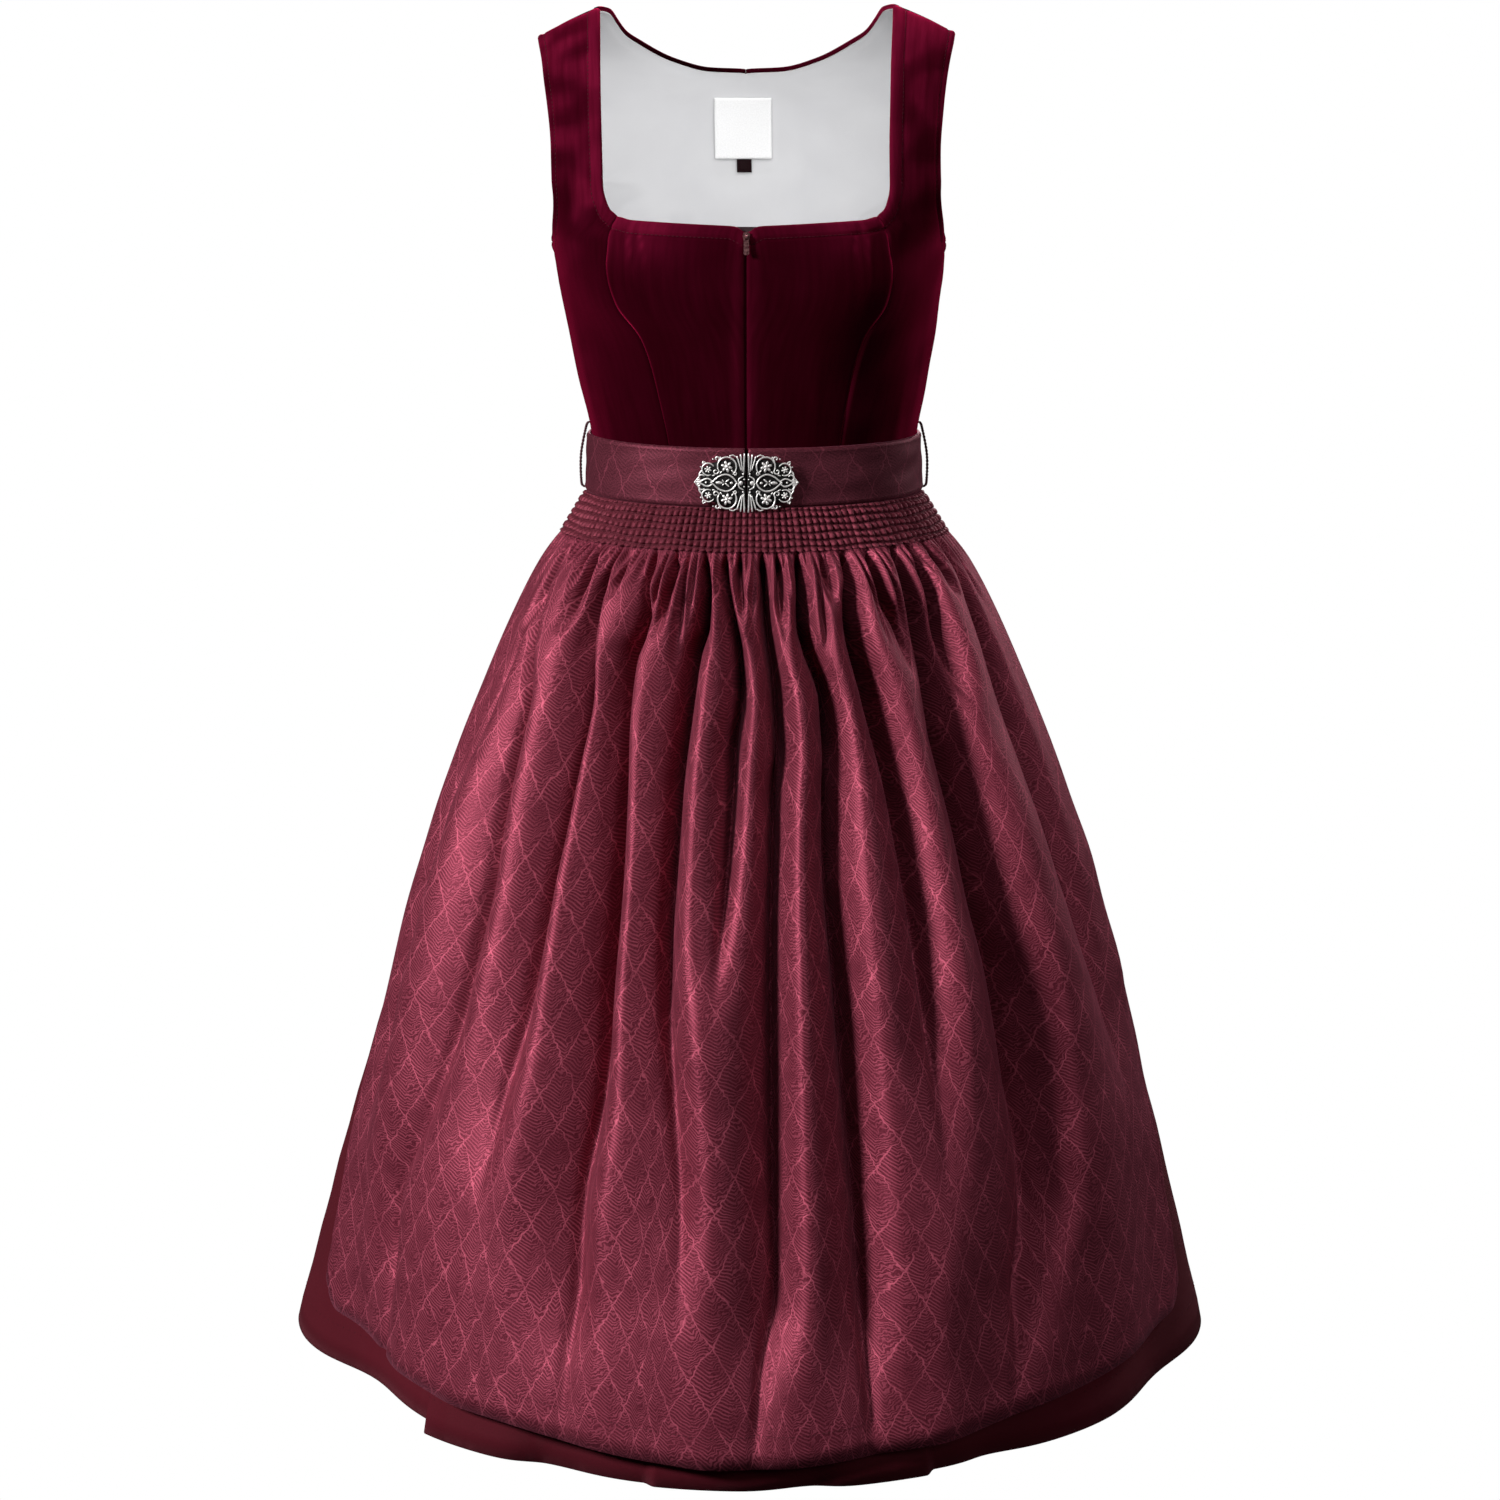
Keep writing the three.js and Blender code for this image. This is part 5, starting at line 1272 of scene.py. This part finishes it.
def smooth_run(corners, steps=9):
    """A smooth curve through a few points."""
    points = np.asarray(corners, float)
    before = np.concatenate([2 * points[:1] - points[1:2], points, 2 * points[-1:] - points[-2:-1]])
    t = np.linspace(0, 1, steps, endpoint=False)[:, None]
    runs = []
    for a, b, c, d in zip(before, before[1:], before[2:], before[3:]):
        bend, twist = 2 * a - 5 * b + 4 * c - d, 3 * b - a - 3 * c + d
        runs.append(0.5 * (2 * b + (c - a) * t + bend * t**2 + twist * t**3))
    return np.concatenate(runs + [points[-1:]])


def flat_wire(places, wire, taper=0.5):
    """A cast wire on the flat of the clasp: places are reach and rise, and it thins at its ends."""
    points = np.column_stack([places, np.full(len(places), WIRE_HEIGHT)])
    along = np.linspace(0, 1, len(points))
    radii = wire * (taper + (1 - taper) * np.clip(np.minimum(along, 1 - along) / 0.22, 0, 1) ** 0.6)
    return tube(points, radii, (0, 0, 1), sides=7)


def clasp_parts():
    """A near-black plate behind, a painted shadow in the openings, and the wires, rosettes, leaves and beads
    above the middle line.
    """
    reach = (0.6 + 33.0 * np.linspace(0, 1, 41) ** 0.9)[None, :]
    half = (17.6 - 0.5 * np.cos(reach * 1.1)) * (1 - (reach / 36.2) ** 2.6) ** (1 / 2.2)
    rise = half * np.linspace(-1, 1, 9)[:, None]
    front = np.stack([reach + 0 * rise, rise, SHADOW_PLATE + 0 * rise], -1)
    # Painted shadow: the thin plate behind the wires is coloured near-black to stand for the shade seen
    # through the openings.
    yield wall(front, front - (0, 0, SHADOW_PLATE))
    for reach, rise, first, last, start, end, wire in zip(*clasp_scrolls.values()):
        angle = np.radians(np.linspace(start, end, max(14, int(abs(end - start) / 12))))
        radius = np.linspace(first, last, len(angle))
        places = np.column_stack([reach + radius * np.cos(angle), rise + radius * np.sin(angle)])
        yield flat_wire(places, wire)
    for wire, corners in clasp_runs:
        yield flat_wire(smooth_run(corners), wire, 0.75)
    for foot, tip, wire in clasp_fan:
        places = np.linspace(foot, tip, 9)
        points = np.column_stack([places, np.full(len(places), WIRE_HEIGHT)])
        yield tube(points, np.linspace(0.36, wire, 9), (0, 0, 1), sides=8)
    for reach, rise, radius, petals, middle in clasp_rosettes:
        yield ball((reach, rise, middle), (radius * 0.34, radius * 0.34, 0.9))
        for petal in range(petals):
            angle = 2 * np.pi * (petal + 0.25) / petals
            out = radius * 0.62
            centre = (reach + out * np.cos(angle), rise + out * np.sin(angle), middle - 0.5)
            yield ball(centre, (radius * 0.40, radius * 0.24, 0.8), angle)
    for reach, rise, radius in clasp_beads:
        yield ball((reach, rise, WIRE_HEIGHT + 0.2), (radius, radius, radius * 0.9))
    for reach, rise, length, width, angle in clasp_leaves:
        yield ball((reach, rise, WIRE_HEIGHT), (length, width, 0.75), math.radians(angle))


def on_the_belt(points, side):
    """Flat clasp points are laid in front of the belt's curve."""
    x = CLOSURE_X + side * points[:, 0]
    height = CLASP_CENTRE + points[:, 1]
    level = np.clip(height, BELT_END, BELT_TOP)
    share = (x - BELT_SWAY) / read(belt_form, "half_width", level)
    seat = -read(belt_form, "front", level) * np.sqrt(1 - share**2)
    return np.column_stack([x, seat - CLASP_CLEAR - points[:, 2], height])


old_silver, tree, principled = shader("antique silver")
place = node(tree, "ShaderNodeTexCoord").outputs["Object"]
pitted = node(tree, "ShaderNodeTexNoise", Vector=place, Scale=900.0, Detail=4.0)
depth = node(tree, "ShaderNodeAttribute", {"attribute_name": "height"}).outputs["Fac"]
# Patina darkens the wirework's low hollows; the plate, lowest of all, comes out near-black as a painted
# shadow in the openings.
patina_and_painted_shadow = math_node(tree, "MULTIPLY_ADD", pitted.outputs[0], 0.3,
                    math_node(tree, "SUBTRACT", depth, 0.15), clamp=True)
coloured(tree, principled, patina_and_painted_shadow, [(0.27, (0.006, 0.005, 0.005)), (0.48, (0.95, 0.93, 0.91))])
coloured(tree, principled, patina_and_painted_shadow, [(0.2, (0.7,) * 3), (0.6, (0.34,) * 3)], "Roughness")
bumped(tree, principled, pitted.outputs[0], 0.3, 0.0001)
constants(principled, Metallic=0.6)

for side_name, side in (("left", -1), ("right", 1)):
    parts = []
    for points, faces in clasp_parts():
        across_middle = abs(points[:, 1].mean()) < 0.02
        for flip in (1,) if across_middle else (1, -1):
            turned = faces if flip * side > 0 else [face[::-1] for face in faces]
            parts.append((points * (1, flip, 1), turned))
    heights = np.concatenate([points[:, 2] for points, _ in parts])
    parts = [(on_the_belt(points, side), faces) for points, faces in parts]
    piece = assembled(f"clasp_filigree_{side_name}", parts, old_silver)
    layer = piece.data.attributes.new("height", "FLOAT", "POINT")
    layer.data.foreach_set("value", np.clip(heights / 2.2, 0, 1).astype(np.float32))
    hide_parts(f"clasp_{side_name}")


# Belt loops: a two-ply thread at each side seam, tacked above and below the belt that it holds.
LOOP_TOP = 43.0
LOOP_END = -6.0
PLY = 0.62
TWISTS = 17
loop_places = [
    # height, and how far out of the bodice or the belt
    (LOOP_TOP, 0.9), (LOOP_TOP - 4, 3.4), (18.5, 4.0), (LOOP_END + 4, 3.0), (LOOP_END, 0.9)]

loop_thread = thread_shader("dusky loop thread", (0.035, 0.009, 0.014), (0.120, 0.042, 0.055))
for side_name, side in (("left", -1), ("right", 1)):
    corners = []
    for height, off in loop_places:
        form = bodice_form if height > BELT_TOP else belt_form
        corners.append((BELT_SWAY + side * (float(read(form, "half_width", height)) + off), height))
    run = smooth_run(corners, 40)
    points = np.column_stack([run[:, 0], np.zeros(len(run)), run[:, 1]])
    twist = np.linspace(0, TWISTS * 2 * np.pi, len(run))
    parts = []
    for ply in (0, np.pi):
        offset = np.column_stack([np.cos(twist + ply), np.sin(twist + ply), 0 * twist]) * PLY * 0.8
        parts.append(tube(points + offset, PLY, (0.2, 1, 0), sides=6))
    for height, x in ((LOOP_TOP, points[0, 0]), (LOOP_END, points[-1, 0])):
        parts.append(ball((x - side * 0.4, 0, height), (0.9, 1.3, 0.8)))
    piece = assembled(f"thread_loop_{side_name}", parts, loop_thread)
    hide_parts(f"loop_{side_name}")
